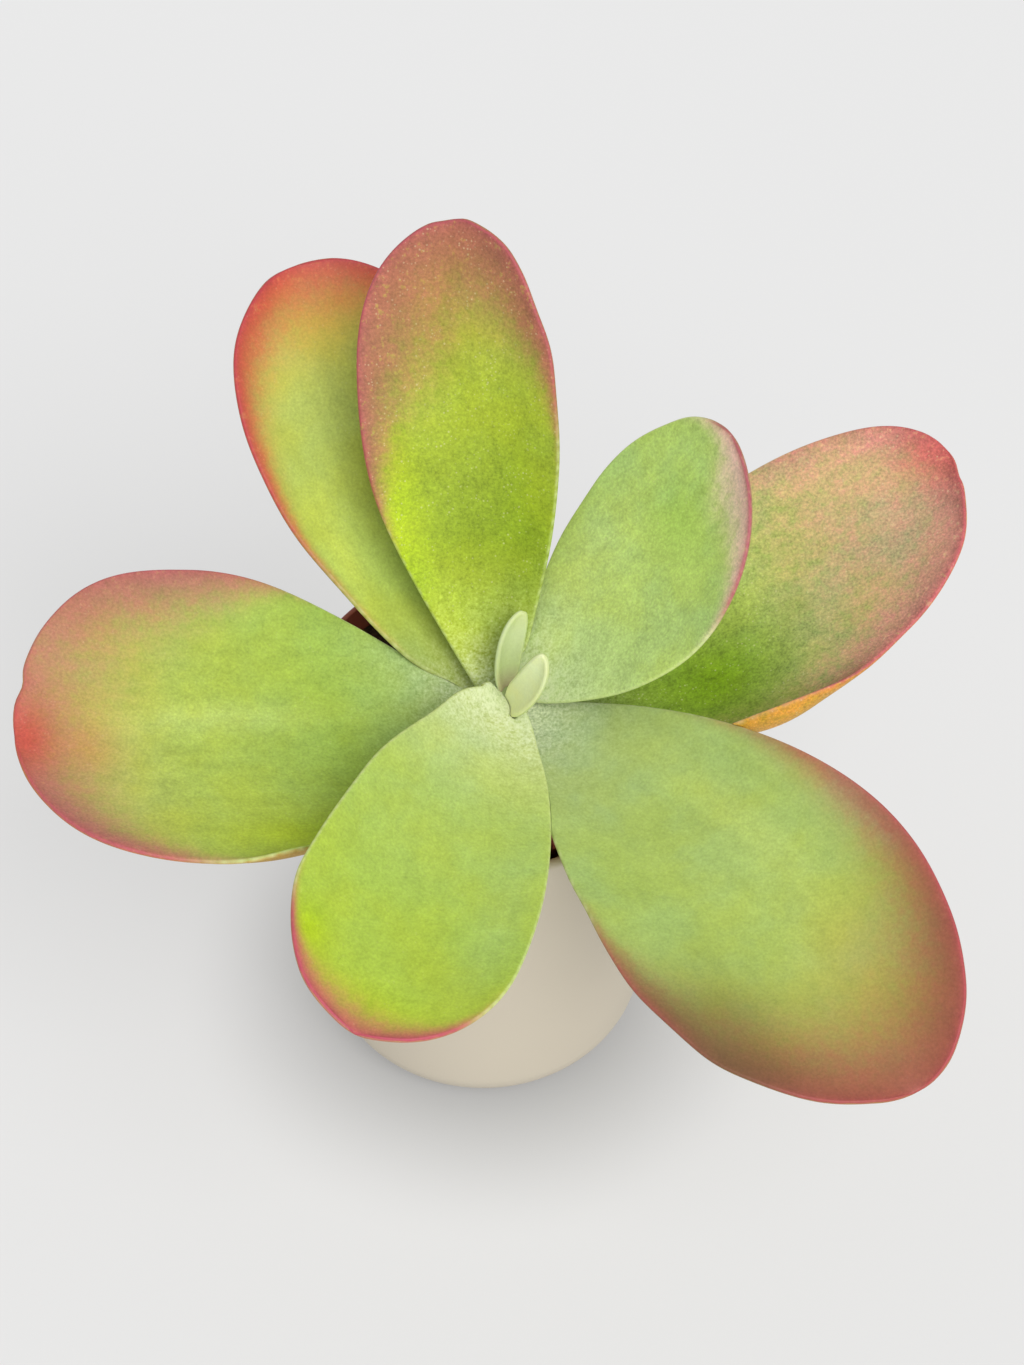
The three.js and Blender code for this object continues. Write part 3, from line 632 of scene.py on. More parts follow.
def potting_grain(add, dark, light, size_mm):
    """Loose potting mix or one of its grains: peat, bark or perlite, dry and dull."""
    here = add("ShaderNodeTexCoord", out="Object")
    grain = add("ShaderNodeTexNoise", {
        "Vector": here, "Scale": 1 / (size_mm * BLOTCH), "Detail": 5, "Roughness": 0.65})
    share = add("ShaderNodeMapRange", {"Value": grain, "From Min": 0.3, "From Max": 0.7},
                interpolation_type="SMOOTHSTEP")
    colour = add("ShaderNodeMix", {0: share, 6: rgba(dark), 7: rgba(light)}, out=2,
                 data_type="RGBA")
    bump = add("ShaderNodeBump", {"Height": grain, "Strength": 0.8, "Distance": 0.5 * MM})
    return {"Base Color": colour, "Roughness": 0.95, "Normal": bump}


def opal_table(add, settings):
    """Acrylic, opal and matt, lit from below. Its glow is dimmed in soft rings round where the pot
    stands: a painted contact shadow round the pot's foot."""
    here = add("ShaderNodeTexCoord", out="Object")
    away = add("ShaderNodeVectorMath", {0: here}, out="Value", operation="LENGTH")
    glow = settings.glow
    # Painted contact shadow: two soft rings dim the floor's glow round the pot's foot.
    for inner, outer, least in ((34, 112, 0.4), (30, 52, 0.58)):
        lit = add("ShaderNodeMapRange", {
            "Value": away, "From Min": inner * MM, "From Max": outer * MM, "To Min": least},
            interpolation_type="SMOOTHSTEP")
        glow = add("ShaderNodeMath", {0: glow, 1: lit}, operation="MULTIPLY")
    return {"Base Color": (*settings.floor, 1), "Roughness": 0.9, "Specular IOR Level": 0.1,
            "Emission Color": (1, 1, 1, 1), "Emission Strength": glow}


# ------------------------------------------------------------------ blades

def growth(leaf, t):
    """Bearing and rise in radians, and the direction of growth, at a share t of the length."""
    bearing = np.radians(leaf["bearing"] + leaf["sweep"] * t)
    rise = np.radians(leaf["rise"] + leaf["bend"] * np.clip(t, 0, None) ** 1.5)
    way = np.stack([np.cos(rise) * np.cos(bearing), np.cos(rise) * np.sin(bearing),
                    np.sin(rise)], -1)
    return bearing, way


def half_width(leaf, t):
    widening = np.sin(0.5 * np.pi * np.clip(t / leaf["belly"], 0, 1)) ** leaf["flare"]
    beyond = np.clip((t - leaf["belly"]) / (1 - leaf["belly"]), 0, 1)
    behind = np.clip(-t * leaf["length"] / leaf.get("clasp", CLASP), 0, 1)
    return leaf["half_width"] * (leaf["neck"] + (1 - leaf["neck"]) * widening) * np.sqrt(
        np.clip(1 - beyond ** leaf["tip"], 0, None)) * np.sqrt(1 - 0.85 * behind ** 3)


def blade_points(leaf, t, across):
    """Points of the blade's middle surface, in millimetres."""
    steps = (np.arange(MIDRIB_STEPS) + 0.5) / MIDRIB_STEPS
    ways = growth(leaf, t[..., None] * steps)[1]
    midrib = leaf["length"] * t[..., None] * ways.mean(-2)
    first = math.radians(leaf["bearing"])
    start = leaf.get("start", LEAF_START)
    base = np.array([STEM["x"] + start * math.cos(first), STEM["y"] + start * math.sin(first),
                     leaf["z"]])
    bearing, way = growth(leaf, t)
    level = np.stack([-np.sin(bearing), np.cos(bearing), 0 * bearing], -1)
    upright = np.cross(way, level)
    roll = np.radians(leaf["roll"] + leaf["twist"] * t)[..., None]
    side = level * np.cos(roll) + upright * np.sin(roll)
    face = upright * np.cos(roll) - level * np.sin(roll)

    width = half_width(leaf, t)
    cup = np.radians(
        leaf["cup"] + leaf.get("channel", 0) * np.exp(-np.clip(t, 0, None) / CHANNEL_SPAN))
    angle = cup * (across + leaf["skew"] * across * across)
    offset = width * np.sin(angle) / cup
    lift = width * (1 - np.cos(angle)) / cup
    if "curl" in leaf:
        # The margin rolls up along an arc, so its underside shows from beside the blade.
        hand = math.copysign(1, leaf["curl"])
        share = np.clip(1 - ((t - leaf["curl_at"]) / leaf["curl_span"]) ** 2, 0, None) ** 2
        past = np.clip(hand * across - ROLL_FROM, 0, None)
        for k in range(ROLL_STEPS):
            outer = past * (k + 0.5) / ROLL_STEPS
            place = hand * (ROLL_FROM + outer)
            plain = cup * (place + leaf["skew"] * place ** 2)
            bent = plain + math.radians(leaf["curl"]) * share * (outer / (1 - ROLL_FROM)) ** 2
            step = hand * width * (1 + 2 * leaf["skew"] * place) * past / ROLL_STEPS
            fuller = 1 + leaf["curl_reach"] * share
            offset = offset + (fuller * np.cos(bent) - np.cos(plain)) * step
            lift = lift + (fuller * np.sin(bent) - np.sin(plain)) * step
    # Bulges fade where the margins meet, so the tip stays smooth.
    for hand, place, span, size in leaf.get("bulges", ()):
        offset = offset + hand * size * smooth(0.2, 1, hand * across) * np.exp(
            -((t - place) / span) ** 2) * (1 - smooth(TIP_FADE, 1, t))
    dent = np.zeros_like(t)
    if "notch" in leaf:
        dent = leaf["notch"] * smooth(NOTCH_FROM, 1, t) * np.exp(
            -((offset - leaf["notch_x"]) / NOTCH_WIDTH) ** 2)
    settled = np.array(leaf.get("settle", (0, 0, 0))) * smooth(0, SETTLED_BY, t)[..., None]
    return (base + midrib + side * offset[..., None] + face * lift[..., None]
            - way * dent[..., None] + settled)


def blade_normals(leaf, t, across):
    """Upward normals of the middle surface. At the tip, where the margins meet, they are those
    just before it."""
    step = 0.004
    at = np.clip(t, None, 0.985)
    along = blade_points(leaf, at + step, across) - blade_points(leaf, at - step, across)
    over = blade_points(leaf, at, across + step) - blade_points(leaf, at, across - step)
    normal = np.cross(along, over)
    return normal / np.linalg.norm(normal, axis=-1, keepdims=True)


def blade_depth(leaf, t, across):
    """Half the blade's thickness: a lens with a rounded margin."""
    margin = leaf.get("margin", MARGIN)
    body = np.sqrt(np.clip(1 - across ** 2, 0, None)) * np.sqrt(np.clip(1 - t ** 6, 0, None))
    inward = np.minimum((1 - np.abs(across)) * half_width(leaf, t), (1 - t) * leaf["length"])
    inward = np.minimum(inward, t * leaf["length"] + leaf.get("clasp", CLASP))
    rounding = np.sqrt(np.clip(1 - np.clip(1 - inward / (0.5 * margin), 0, 1) ** 2, 0, None))
    return 0.5 * (leaf["thickness"] - margin) * body + 0.5 * margin * rounding


def ripple(leaf, t, across, seed):
    """Slight unevenness of the flesh, in millimetres, alike on both faces."""
    draw = np.random.default_rng(seed)
    along, over = t * leaf["length"], across * half_width(leaf, t)
    total = np.zeros_like(t)
    for wave in RIPPLE_WAVES:
        turn = draw.uniform(0, np.pi)
        phase = draw.uniform(0, 2 * np.pi)
        total += wave / RIPPLE_WAVES[0] * np.sin(
            2 * np.pi * (along * math.cos(turn) + over * math.sin(turn)) / wave + phase)
    return RIPPLE_HEIGHT * total * leaf["length"] / RIPPLE_LENGTH * smooth(0, 0.15, t)


def margin_distance(leaf, t, across):
    """How far each place is from the outline in millimetres, and where on it, from -1 at the
    base of the right margin by 0 at the tip to 1 at the base of the left one."""
    # The steps get shorter towards the tip, where the outline turns.
    s = 1 - (1 - np.linspace(0, 1, OUTLINE_STEPS + 1)) ** 1.7
    width = half_width(leaf, s)
    right = np.stack([-width * (1 - leaf["skew"]), s * leaf["length"]], -1)
    left = np.stack([width * (1 + leaf["skew"]), s * leaf["length"]], -1)[::-1]
    outline = np.concatenate([right, left[1:]])
    steps = np.linalg.norm(np.diff(outline, axis=0), axis=1)
    run = np.concatenate([[0], np.cumsum(steps)])
    tip = run[len(s) - 1]
    where = np.where(run < tip, run / tip - 1, (run - tip) / (run[-1] - tip))
    flat = np.stack([half_width(leaf, t) * (across + leaf["skew"] * across ** 2),
                     t * leaf["length"]], -1)
    away = np.linalg.norm(flat[:, None, :] - outline[None], axis=-1)
    nearest = away.argmin(1)
    # A soft mean over the near stretch of the outline keeps the blush from breaking along the
    # midline, where the nearest margin changes sides.
    weight = np.exp(-(away - away[np.arange(len(t)), nearest][:, None]) / MARGIN_BLEND)
    return away.min(1), weight / weight.sum(1, keepdims=True), where


def coat_blade(piece, leaf, coat, t, across, face):
    """Paints the blade: body, blush, powder, margin line and scars, as attributes."""
    distance, weight, where = margin_distance(leaf, t, across)
    places, widths, strengths = zip(*coat["band"])
    width = weight @ np.interp(where, places, widths)
    strength = weight @ np.interp(where, places, strengths)
    flat = np.stack([half_width(leaf, t) * across, t * leaf["length"]], -1)
    stops = np.array([linear(c) for c in coat["body"]])
    body = np.stack([np.interp(t, BODY_STOPS, channel) for channel in stops.T], -1)

    def patch(along, over, long, wide):
        """How strong a soft patch at a place on the blade is at each point."""
        middle = (half_width(leaf, along) * over, along * leaf["length"])
        return np.exp(-np.sum(((flat - middle) / (wide, long)) ** 2, -1))

    def patched(base, patches):
        for along, over, long, wide, colour, share in patches:
            base = mix(base, linear(colour), share * patch(along, over, long, wide))
        return base

    below = face < 0
    body = np.where(below[:, None], linear(coat["under"]), patched(body, coat["glow"]))

    start, full, most = coat.get("flush", (1, 2, 0))
    near = strength * 0.5 ** (distance / width) ** 1.8
    blush = (1 - (1 - near) * (1 - most * smooth(start, full, t))) * np.where(below, UNDER_BLUSH, 1)
    tint = np.where(below[:, None], linear(coat["under_blush"]), linear(coat["blush"]))
    red_rim = smooth(0.3, 0.9, strength)
    reach = RIM_STRENGTH * red_rim * np.where(below, 0, 1) * np.exp(-distance / RIM_FADE)
    embers = coat.get("embers", ())
    tint = patched(mix(tint, linear(coat["rim"]), reach), embers)

    powder = np.exp(-(np.clip(t, 0, 1) * leaf["length"] / POWDER_REACH) ** 1.2)
    grown = len(coat["glow"]) > 0
    powder = powder * np.where(below, UNDER_POWDER, 1) * (1 if grown else YOUNG_STRENGTH)
    line = np.exp(-(distance / RIM_LINE) ** 2) * (LINE_STRENGTH if grown else YOUNG_STRENGTH)
    rim_tint = patched(mix(linear(PALE_MARGIN), linear(coat["rim"]), red_rim), embers)
    scar = np.zeros_like(t)
    for along, over, size in coat["scars"]:
        scar = np.maximum(scar, patch(along, over, size, size))
    for name, values in (("body_tint", body), ("blush_tint", tint), ("blush", blush),
                         ("powder", powder), ("rim", line), ("rim_tint", rim_tint),
                         ("scar", scar), ("coarse", np.full(len(t), coat["coarse"])),
                         ("specks", np.full(len(t), coat["specks"]))):
        paint(piece, name, values)
    spread = piece.data.attributes.new("spread", "FLOAT_VECTOR", "POINT")
    laid = np.concatenate([flat, face[:, None] * 3], axis=1) * MM
    spread.data.foreach_set("vector", laid.astype(np.float32).ravel())


def blade_grid(leaf, rows, half, seed, grow=0.0):
    """Points, faces and places on the blade of one closed blade. Each row is a ring over the
    upper face and back under the lower one. grow makes it larger all round."""
    base = -leaf.get("clasp", CLASP) / leaf["length"]
    # The rows lie closer towards the tip, and the columns towards the margins.
    t_rows = base + (1 - base) * (1 - (1 - np.linspace(0, 1, rows + 1)[:-1]) ** 1.6)
    over = np.sin(0.5 * np.pi * np.arange(-half, half + 1) / half)
    ring = np.concatenate([over, over[-2:0:-1]])
    turned_up = np.concatenate([[0], np.ones(2 * half - 1), [0], -np.ones(2 * half - 1)])
    t = np.append(np.repeat(t_rows, len(ring)), 1.0)
    across = np.append(np.tile(ring, rows), 0.0)
    face = np.append(np.tile(turned_up, rows), 0.0)
    offset = face * (blade_depth(leaf, t, across) + grow) + ripple(leaf, t, across, seed)
    points = blade_points(leaf, t, across) + blade_normals(leaf, t, across) * offset[:, None]
    sides = len(ring)
    faces = flipped(ring_faces(rows, sides))
    tip = len(points) - 1
    last = (rows - 1) * sides
    faces += [(last + (k + 1) % sides, last + k, tip) for k in range(sides)]
    faces.append(tuple(range(sides)))
    return points, faces, t, across, face


def grown_leaf(leaf, grow):
    """The leaf's values with its outline moved outwards."""
    return dict(leaf, half_width=leaf["half_width"] + grow, length=leaf["length"] + 2 * grow,
                clasp=leaf.get("clasp", CLASP) + 2 * grow)


def keep_largest(piece):
    """Deletes all but the largest connected body of the mesh."""
    shape = bmesh.new()
    shape.from_mesh(piece.data)
    left = set(shape.verts)
    bodies = []
    while left:
        front = [left.pop()]
        body = set(front)
        while front:
            for edge in front.pop().link_edges:
                for vertex in edge.verts:
                    if vertex in left:
                        left.remove(vertex)
                        body.add(vertex)
                        front.append(vertex)
        bodies.append(body)
    bodies.sort(key=len)
    scraps = [vertex for body in bodies[:-1] for vertex in body]
    bmesh.ops.delete(shape, geom=scraps, context="VERTS")
    shape.to_mesh(piece.data)
    shape.free()


def make_blade(name, rows, half, seed, tools):
    """One blade, cut clear of the tools above it, with its coat painted on."""
    leaf = LEAVES[name]
    points, faces, t, across, face = blade_grid(leaf, rows, half, seed)
    piece = new_mesh_object(name + "_blade", points, faces)
    places = KDTree(len(points))
    for k, point in enumerate(points * MM):
        places.insert(point, k)
    places.balance()
    cut_away(piece, tools, "MANIFOLD")
    keep_largest(piece)
    nearest = [places.find(vertex.co)[1] for vertex in piece.data.vertices]
    piece.data.polygons.foreach_set("use_smooth", [True] * len(piece.data.polygons))
    piece.data.set_sharp_from_angle(angle=math.radians(60))
    coat_blade(piece, leaf, COATS[name], t[nearest], across[nearest], face[nearest])
    return piece


# ------------------------------------------------------------------ stem

def make_stem(sides=96, grow=0.0):
    """The stem, swollen where leaves leave it, and narrow at its growing point. grow makes it
    larger all round."""
    heights = np.linspace(STEM["foot"], STEM["top"] - 1.5, 120)
    grown = STEM["foot_radius"] + (STEM["radius"] - STEM["foot_radius"]) * smooth(
        STEM["foot"], STEM["full"], heights)
    grown = grown + (STEM["tip_radius"] - STEM["radius"]) * smooth(
        STEM["neck"], STEM["top"] - 2, heights)
    swell = sum(0.5 * np.exp(-((heights - n) / 1.6) ** 2) for n in STEM_NODES)
    top = [(STEM["tip_radius"] - 0.9, STEM["top"] - 0.5)]
    profile = [(0, STEM["foot"])] + list(zip(grown + swell, heights)) + top + [(0, STEM["top"])]
    profile = [(r + grow if r else 0, z) for r, z in profile]
    piece = turned("stem_column", profile, sides)
    place = np.empty(len(piece.data.vertices) * 3)
    piece.data.vertices.foreach_get("co", place)
    place = place.reshape(-1, 3) / MM
    turn = np.arctan2(place[:, 1], place[:, 0])
    # Each scar is a band less than a millimetre wide that rises and falls round the stem.
    scar = sum(np.exp(-((place[:, 2] - h - 0.8 * np.sin(2 * turn + h)) / 0.8) ** 2)
               for h in STEM_SCARS)
    rough = 1 + 0.012 * np.sin(7 * turn + place[:, 2] * 0.4) + 0.03 * scar
    moved = place * np.stack([rough, rough, np.ones_like(rough)], -1)
    moved += np.array([STEM["x"], STEM["y"], 0])
    piece.data.vertices.foreach_set("co", (moved * MM).ravel())
    paint(piece, "scar", scar)
    piece.data.update()
    return piece


# ------------------------------------------------------------------ pots

def make_cover_pot(sides=160):
    c = COVER
    profile = [
        (0, 0),
        *arc(c["base_radius"] - c["corner"], c["corner"], c["corner"], -90, -4, 24),
        *arc(c["rim_radius"] - c["rim_round"], c["height"] - c["rim_round"], c["rim_round"],
             0, 180, 14),
        *arc(c["base_radius"] - c["wall"] - c["inner_corner"], c["floor"] + c["inner_corner"],
             c["inner_corner"], -4, -90, 12),
        (0, c["floor"]),
    ]
    return turned("cover_pot_shell", stretch(profile, 6), sides)


def nursery_profile():
    p = NURSERY
    bottom = COVER["floor"] + GAP
    lip_foot = p["rim_height"] - p["lip_depth"]
    body_top = p["rim_radius"] - p["lip_thickness"] - p["shoulder"]
    return [
        (0, bottom),
        *arc(p["base_radius"] - p["foot_round"], bottom + p["foot_round"], p["foot_round"],
             -90, 0, 8),
        (body_top, lip_foot - p["shoulder"]),
        (p["rim_radius"] - 0.8, lip_foot),
        *arc(p["rim_radius"] - 0.9, p["rim_height"] - 0.9, 0.9, 0, 90, 5),
        *arc(p["rim_radius"] - p["lip_thickness"] + 0.7, p["rim_height"] - 0.5, 0.5, 90, 180, 4),
        (p["rim_radius"] - p["lip_thickness"] - 0.4, lip_foot + 1),
        (body_top - p["wall"], lip_foot - p["shoulder"]),
        (p["base_radius"] - p["wall"] - 1, bottom + p["floor"] + 2),
        (p["base_radius"] - p["wall"] - 3, bottom + p["floor"]),
        (0, bottom + p["floor"]),
    ]


def make_nursery_pot(sides=144):
    """The moulded pot, with its drain holes cut through the floor."""
    p = NURSERY
    pot = turned("nursery_pot_shell", nursery_profile(), sides)
    points, faces = [], []
    middle, count = COVER["floor"] + GAP + p["floor"] / 2, 32
    for a in np.linspace(0, 2 * np.pi, p["drains"], endpoint=False):
        centre = (p["drain_circle"] * math.cos(a), p["drain_circle"] * math.sin(a))
        first = len(points) * count
        points += [circle(count, p["drain_radius"], z, centre)
                   for z in (middle - 2 * p["floor"], middle + 2 * p["floor"])]
        faces += [*ring_faces(2, count, first), range(first + count - 1, first - 1, -1),
                  range(first + count, first + 2 * count)]
    cutter = new_mesh_object("drain_cutter", np.concatenate(points), faces)
    cut_away(pot, [cutter], "EXACT")
    bpy.data.objects.remove(cutter)
    return pot


def rib_tree():
    """A ring of upright ribs: a bar at each of Count places on a circle."""
    tree, add, given = new_geometry_tree(
        "ring of ribs", Count="Int", Radius="Float", Height="Float", Width="Float",
        Middle="Float", Material="Material")
    ring = add("GeometryNodeMeshCircle", {"Vertices": given["Count"], "Radius": given["Radius"]})
    spot = add("GeometryNodeInputPosition")
    facing = add("FunctionNodeAlignRotationToVector", {"Vector": spot}, axis="X")
    size = add("ShaderNodeCombineXYZ", {
        "X": given["Width"], "Y": given["Width"], "Z": given["Height"]})
    bar = add("GeometryNodeMeshCylinder", {"Vertices": 6, "Radius": 0.5, "Depth": 1.0})
    sized = add("GeometryNodeTransform", {"Geometry": bar, "Scale": size})
    placed = add("GeometryNodeInstanceOnPoints", {
        "Points": ring, "Instance": sized, "Rotation": facing})
    lift = add("ShaderNodeCombineXYZ", {"Z": given["Middle"]})
    raised = add("GeometryNodeTransform", {"Geometry": placed, "Translation": lift})
    end_geometry_tree(add, raised, given["Material"])
    return tree


# ------------------------------------------------------------------ potting mix

def make_soil(sides=240, rings=90):
    """The potting mix: lumpy on top, filling the nursery pot down to its floor."""
    p = NURSERY
    bottom = COVER["floor"] + p["floor"] + 2 * GAP
    lip_foot = p["rim_height"] - p["lip_depth"]
    outer = p["rim_radius"] - p["lip_thickness"] - 0.5 - GAP
    waist = p["rim_radius"] - p["lip_thickness"] - p["shoulder"] - p["wall"] - GAP - 0.2
    foot = p["base_radius"] - p["wall"] - 3 - GAP
    draw = np.random.default_rng(11)
    waves = [(w, draw.uniform(0, 2 * np.pi), draw.uniform(0, 2 * np.pi))
             for w in SOIL_WAVES for _ in range(3)]

    def lumps(x, y):
        total = 1.6 * (np.sin(x * 0.21 + 1.3) * np.cos(y * 0.19)
                       + 0.6 * np.sin(x * 0.43 - y * 0.37))
        for wave, turn, phase in waves:
            total = total + 0.012 * wave * np.sin(
                2 * np.pi * (x * math.cos(turn) + y * math.sin(turn)) / wave + phase)
        return total

    radii = np.linspace(0, outer, rings + 1)[1:]
    turn = np.linspace(0, 2 * np.pi, sides, endpoint=False)
    x = radii[:, None] * np.cos(turn)
    y = radii[:, None] * np.sin(turn)
    z = SOIL_TOP + lumps(x, y) * smooth(0, 4, outer - radii)[:, None]
    top = np.stack([x, y, z], -1).reshape(-1, 3)
    walls = [circle(sides, radius, height) for radius, height in (
        (outer - 0.1, lip_foot + 1), (waist, lip_foot - p["shoulder"]), (foot, bottom))]
    points = np.concatenate([top, *walls, [[0, 0, SOIL_TOP], [0, 0, bottom]]])
    faces = flipped(ball_faces(rings + len(walls), sides))
    return new_mesh_object("potting_mix_bed", points, faces)


def crumb_tree():
    """Loose grains: a lump of the given shape at seeded places on the mesh, turned and sized
    at random."""
    tree, add, given = new_geometry_tree(
        "scattered grains", Grain="Object", Spacing="Float", Share="Float", Smallest="Float",
        Largest="Float", Seed="Int", Material="Material")
    seed = given["Seed"]
    spread = add("GeometryNodeDistributePointsOnFaces", {
        "Mesh": given["Geometry"], "Distance Min": given["Spacing"], "Density Max": 4e6,
        "Density Factor": given["Share"], "Seed": seed}, distribute_method="POISSON")
    turn = add("FunctionNodeRandomValue", {
        "Min": (0, 0, 0), "Max": (6.28, 6.28, 6.28), "Seed": seed}, data_type="FLOAT_VECTOR")
    size = add("FunctionNodeRandomValue", {
        2: given["Smallest"], 3: given["Largest"], "Seed": seed}, out=1, data_type="FLOAT")
    grain = add("GeometryNodeObjectInfo", {"Object": given["Grain"]}, out="Geometry")
    placed = add("GeometryNodeInstanceOnPoints", {
        "Points": spread, "Instance": grain, "Rotation": turn, "Scale": size})
    end_geometry_tree(add, placed, given["Material"])
    return tree


def lump(name, stretch_xyz, seed):
    """One rough grain, 1 m across before it is sized: a knocked-about ball of few faces."""
    draw = np.random.default_rng(seed)
    rings, sides = 3, 6
    tilts = np.linspace(0, np.pi, rings + 2)[1:-1]
    body = [circle(sides, math.sin(tilt), math.cos(tilt)) for tilt in tilts]
    points = np.concatenate([*body, [[0, 0, 1], [0, 0, -1]]])
    points *= draw.uniform(0.75, 1.2, (len(points), 1)) * np.array(stretch_xyz) * 0.5 / MM
    return new_mesh_object(name, points, flipped(ball_faces(rings, sides)), smooth_shading=False)


def soil_top_patch():
    """A flat ring of mesh where loose grains lie: round the stem, clear of it and of the rim."""
    outer = NURSERY["rim_radius"] - NURSERY["lip_thickness"] - 3
    sides, z = 48, SOIL_TOP + 0.4
    rings = [circle(sides, outer, z),
             circle(sides, STEM["radius"] + 1.5, z, (STEM["x"], STEM["y"]))]
    return new_mesh_object("grain_bed", np.concatenate(rings), ring_faces(2, sides))


# ------------------------------------------------------------------ settings

class PaddlePotSettings(bpy.types.PropertyGroup):
    """Finish of the two pots."""

    glaze: FloatVectorProperty(
        name="Glaze", description="Colour of the cover pot's matt glaze", subtype="COLOR",
        default=rgba("#D2C8B5")[:3], min=0, max=1)
    plastic: FloatVectorProperty(
        name="Plastic", description="Colour of the nursery pot", subtype="COLOR",
        default=rgba("#9A4F41")[:3], min=0, max=1)
    ribs: IntProperty(
        name="Ribs", description="Upright ribs round the nursery pot's lip", default=120,
        min=12, max=360)
    rib_height: FloatProperty(
        name="Rib height", description="Length of each rib", default=9 * MM, unit="LENGTH")


class PaddleLeafSettings(bpy.types.PropertyGroup):
    """Skin and fineness of the blades."""

    flecks: FloatProperty(
        name="Flecks", description="Strength of the pale waxy dots", default=0.24,
        min=0, max=1, subtype="FACTOR")
    powder: FloatProperty(
        name="Powder", description="Strength of the powdery bloom at the bases", default=0.75,
        min=0, max=1, subtype="FACTOR")
    rows: IntProperty(
        name="Rows", description="Rows of mesh along a grown blade", default=110, min=20, max=300)


class PaddleMixSettings(bpy.types.PropertyGroup):
    """The potting mix."""

    spacing: FloatProperty(
        name="Spacing", description="Least distance between loose grains", default=1.5 * MM,
        unit="LENGTH")
    seed: IntProperty(name="Seed", description="Draw of the loose grains", default=7)


class PaddleStageSettings(bpy.types.PropertyGroup):
    """Floor, light and camera."""

    elevation: FloatProperty(
        name="Elevation", description="Camera's height above the horizon",
        default=math.radians(50), subtype="ANGLE")
    distance: FloatProperty(
        name="Distance", description="Camera to the crown of the plant", default=1.2,
        unit="LENGTH")
    floor: FloatVectorProperty(
        name="Floor", description="Colour of the floor", subtype="COLOR",
        default=rgba("#9C9C9C")[:3], min=0, max=1)
    glow: FloatProperty(
        name="Glow", description="Light that the opal floor gives from below", default=0.455, min=0)
    sky: FloatProperty(
        name="Sky", description="Brightness of the even light", default=0.57, min=0)
    key: FloatProperty(
        name="Key", description="Strength of the large softbox", default=2.2, min=0)


# ------------------------------------------------------------------ operators

class PADDLE_OT_blades(bpy.types.Operator):
    """Makes the seven grown blades and the young pair"""

    bl_idname = "paddle.blades"
    bl_label = "Blades"

    def execute(self, context):
        settings = context.scene.paddle_leaves
        material = new_material("living succulent leaf skin, waxy", leaf_skin, settings)
        names = list(LEAVES)
        tools = [make_stem(24, GAP)]
        for seed, name in enumerate(names):
            points, faces, *_ = blade_grid(
                grown_leaf(LEAVES[name], GAP), *CLEARANCE_GRID, seed, GAP)
            tools.append(new_mesh_object("clearance", points, faces))
        for seed, name in enumerate(names):
            young = name.startswith("young")
            grid = YOUNG_GRID if young else (settings.rows, GROWN_COLUMNS)
            piece = make_blade(name, *grid, seed, [tools[0], *tools[seed + 2:]])
            seat(piece, material, "young_leaf_skin" if young else "leaf_skin", name)
        for tool in tools:
            bpy.data.objects.remove(tool)
        return {"FINISHED"}


class PADDLE_OT_stem(bpy.types.Operator):
    """Makes the stem with its leaf scars"""

    bl_idname = "paddle.stem"
    bl_label = "Stem"

    def execute(self, context):
        material = new_material("living succulent stem skin", stem_skin)
        seat(make_stem(), material, "stem_skin", "stem")
        return {"FINISHED"}


class PADDLE_OT_cover_pot(bpy.types.Operator):
    """Makes the cream cover pot"""

    bl_idname = "paddle.cover_pot"
    bl_label = "Cover pot"

    def execute(self, context):
        material = new_material("stoneware, cast, matt cream glaze", cover_pot_glaze,
                                context.scene.paddle_pots)
        seat(make_cover_pot(), material, "cream_ceramic", "cover_pot")
        return {"FINISHED"}


class PADDLE_OT_nursery_pot(bpy.types.Operator):
    """Makes the moulded nursery pot and the ribs round its lip"""

    bl_idname = "paddle.nursery_pot"
    bl_label = "Nursery pot"

    def execute(self, context):
        settings = context.scene.paddle_pots
        material = new_material("polypropylene, moulded, brick red", nursery_pot_plastic,
                                settings)
        seat(make_nursery_pot(), material, "terracotta_plastic", "nursery_pot")
        values = {
            "Count": settings.ribs, "Radius": (NURSERY["rim_radius"] - 0.45) * MM,
            "Height": settings.rib_height, "Width": 1.3 * MM,
            "Middle": (NURSERY["rim_height"] - 7.5) * MM, "Material": material}
        mesh = bpy.data.meshes.new("nursery_pot_ribs")
        ribs = from_tree("nursery_pot_ribs", rib_tree(), mesh, values)
        seat(ribs, material, "terracotta_plastic")
        return {"FINISHED"}


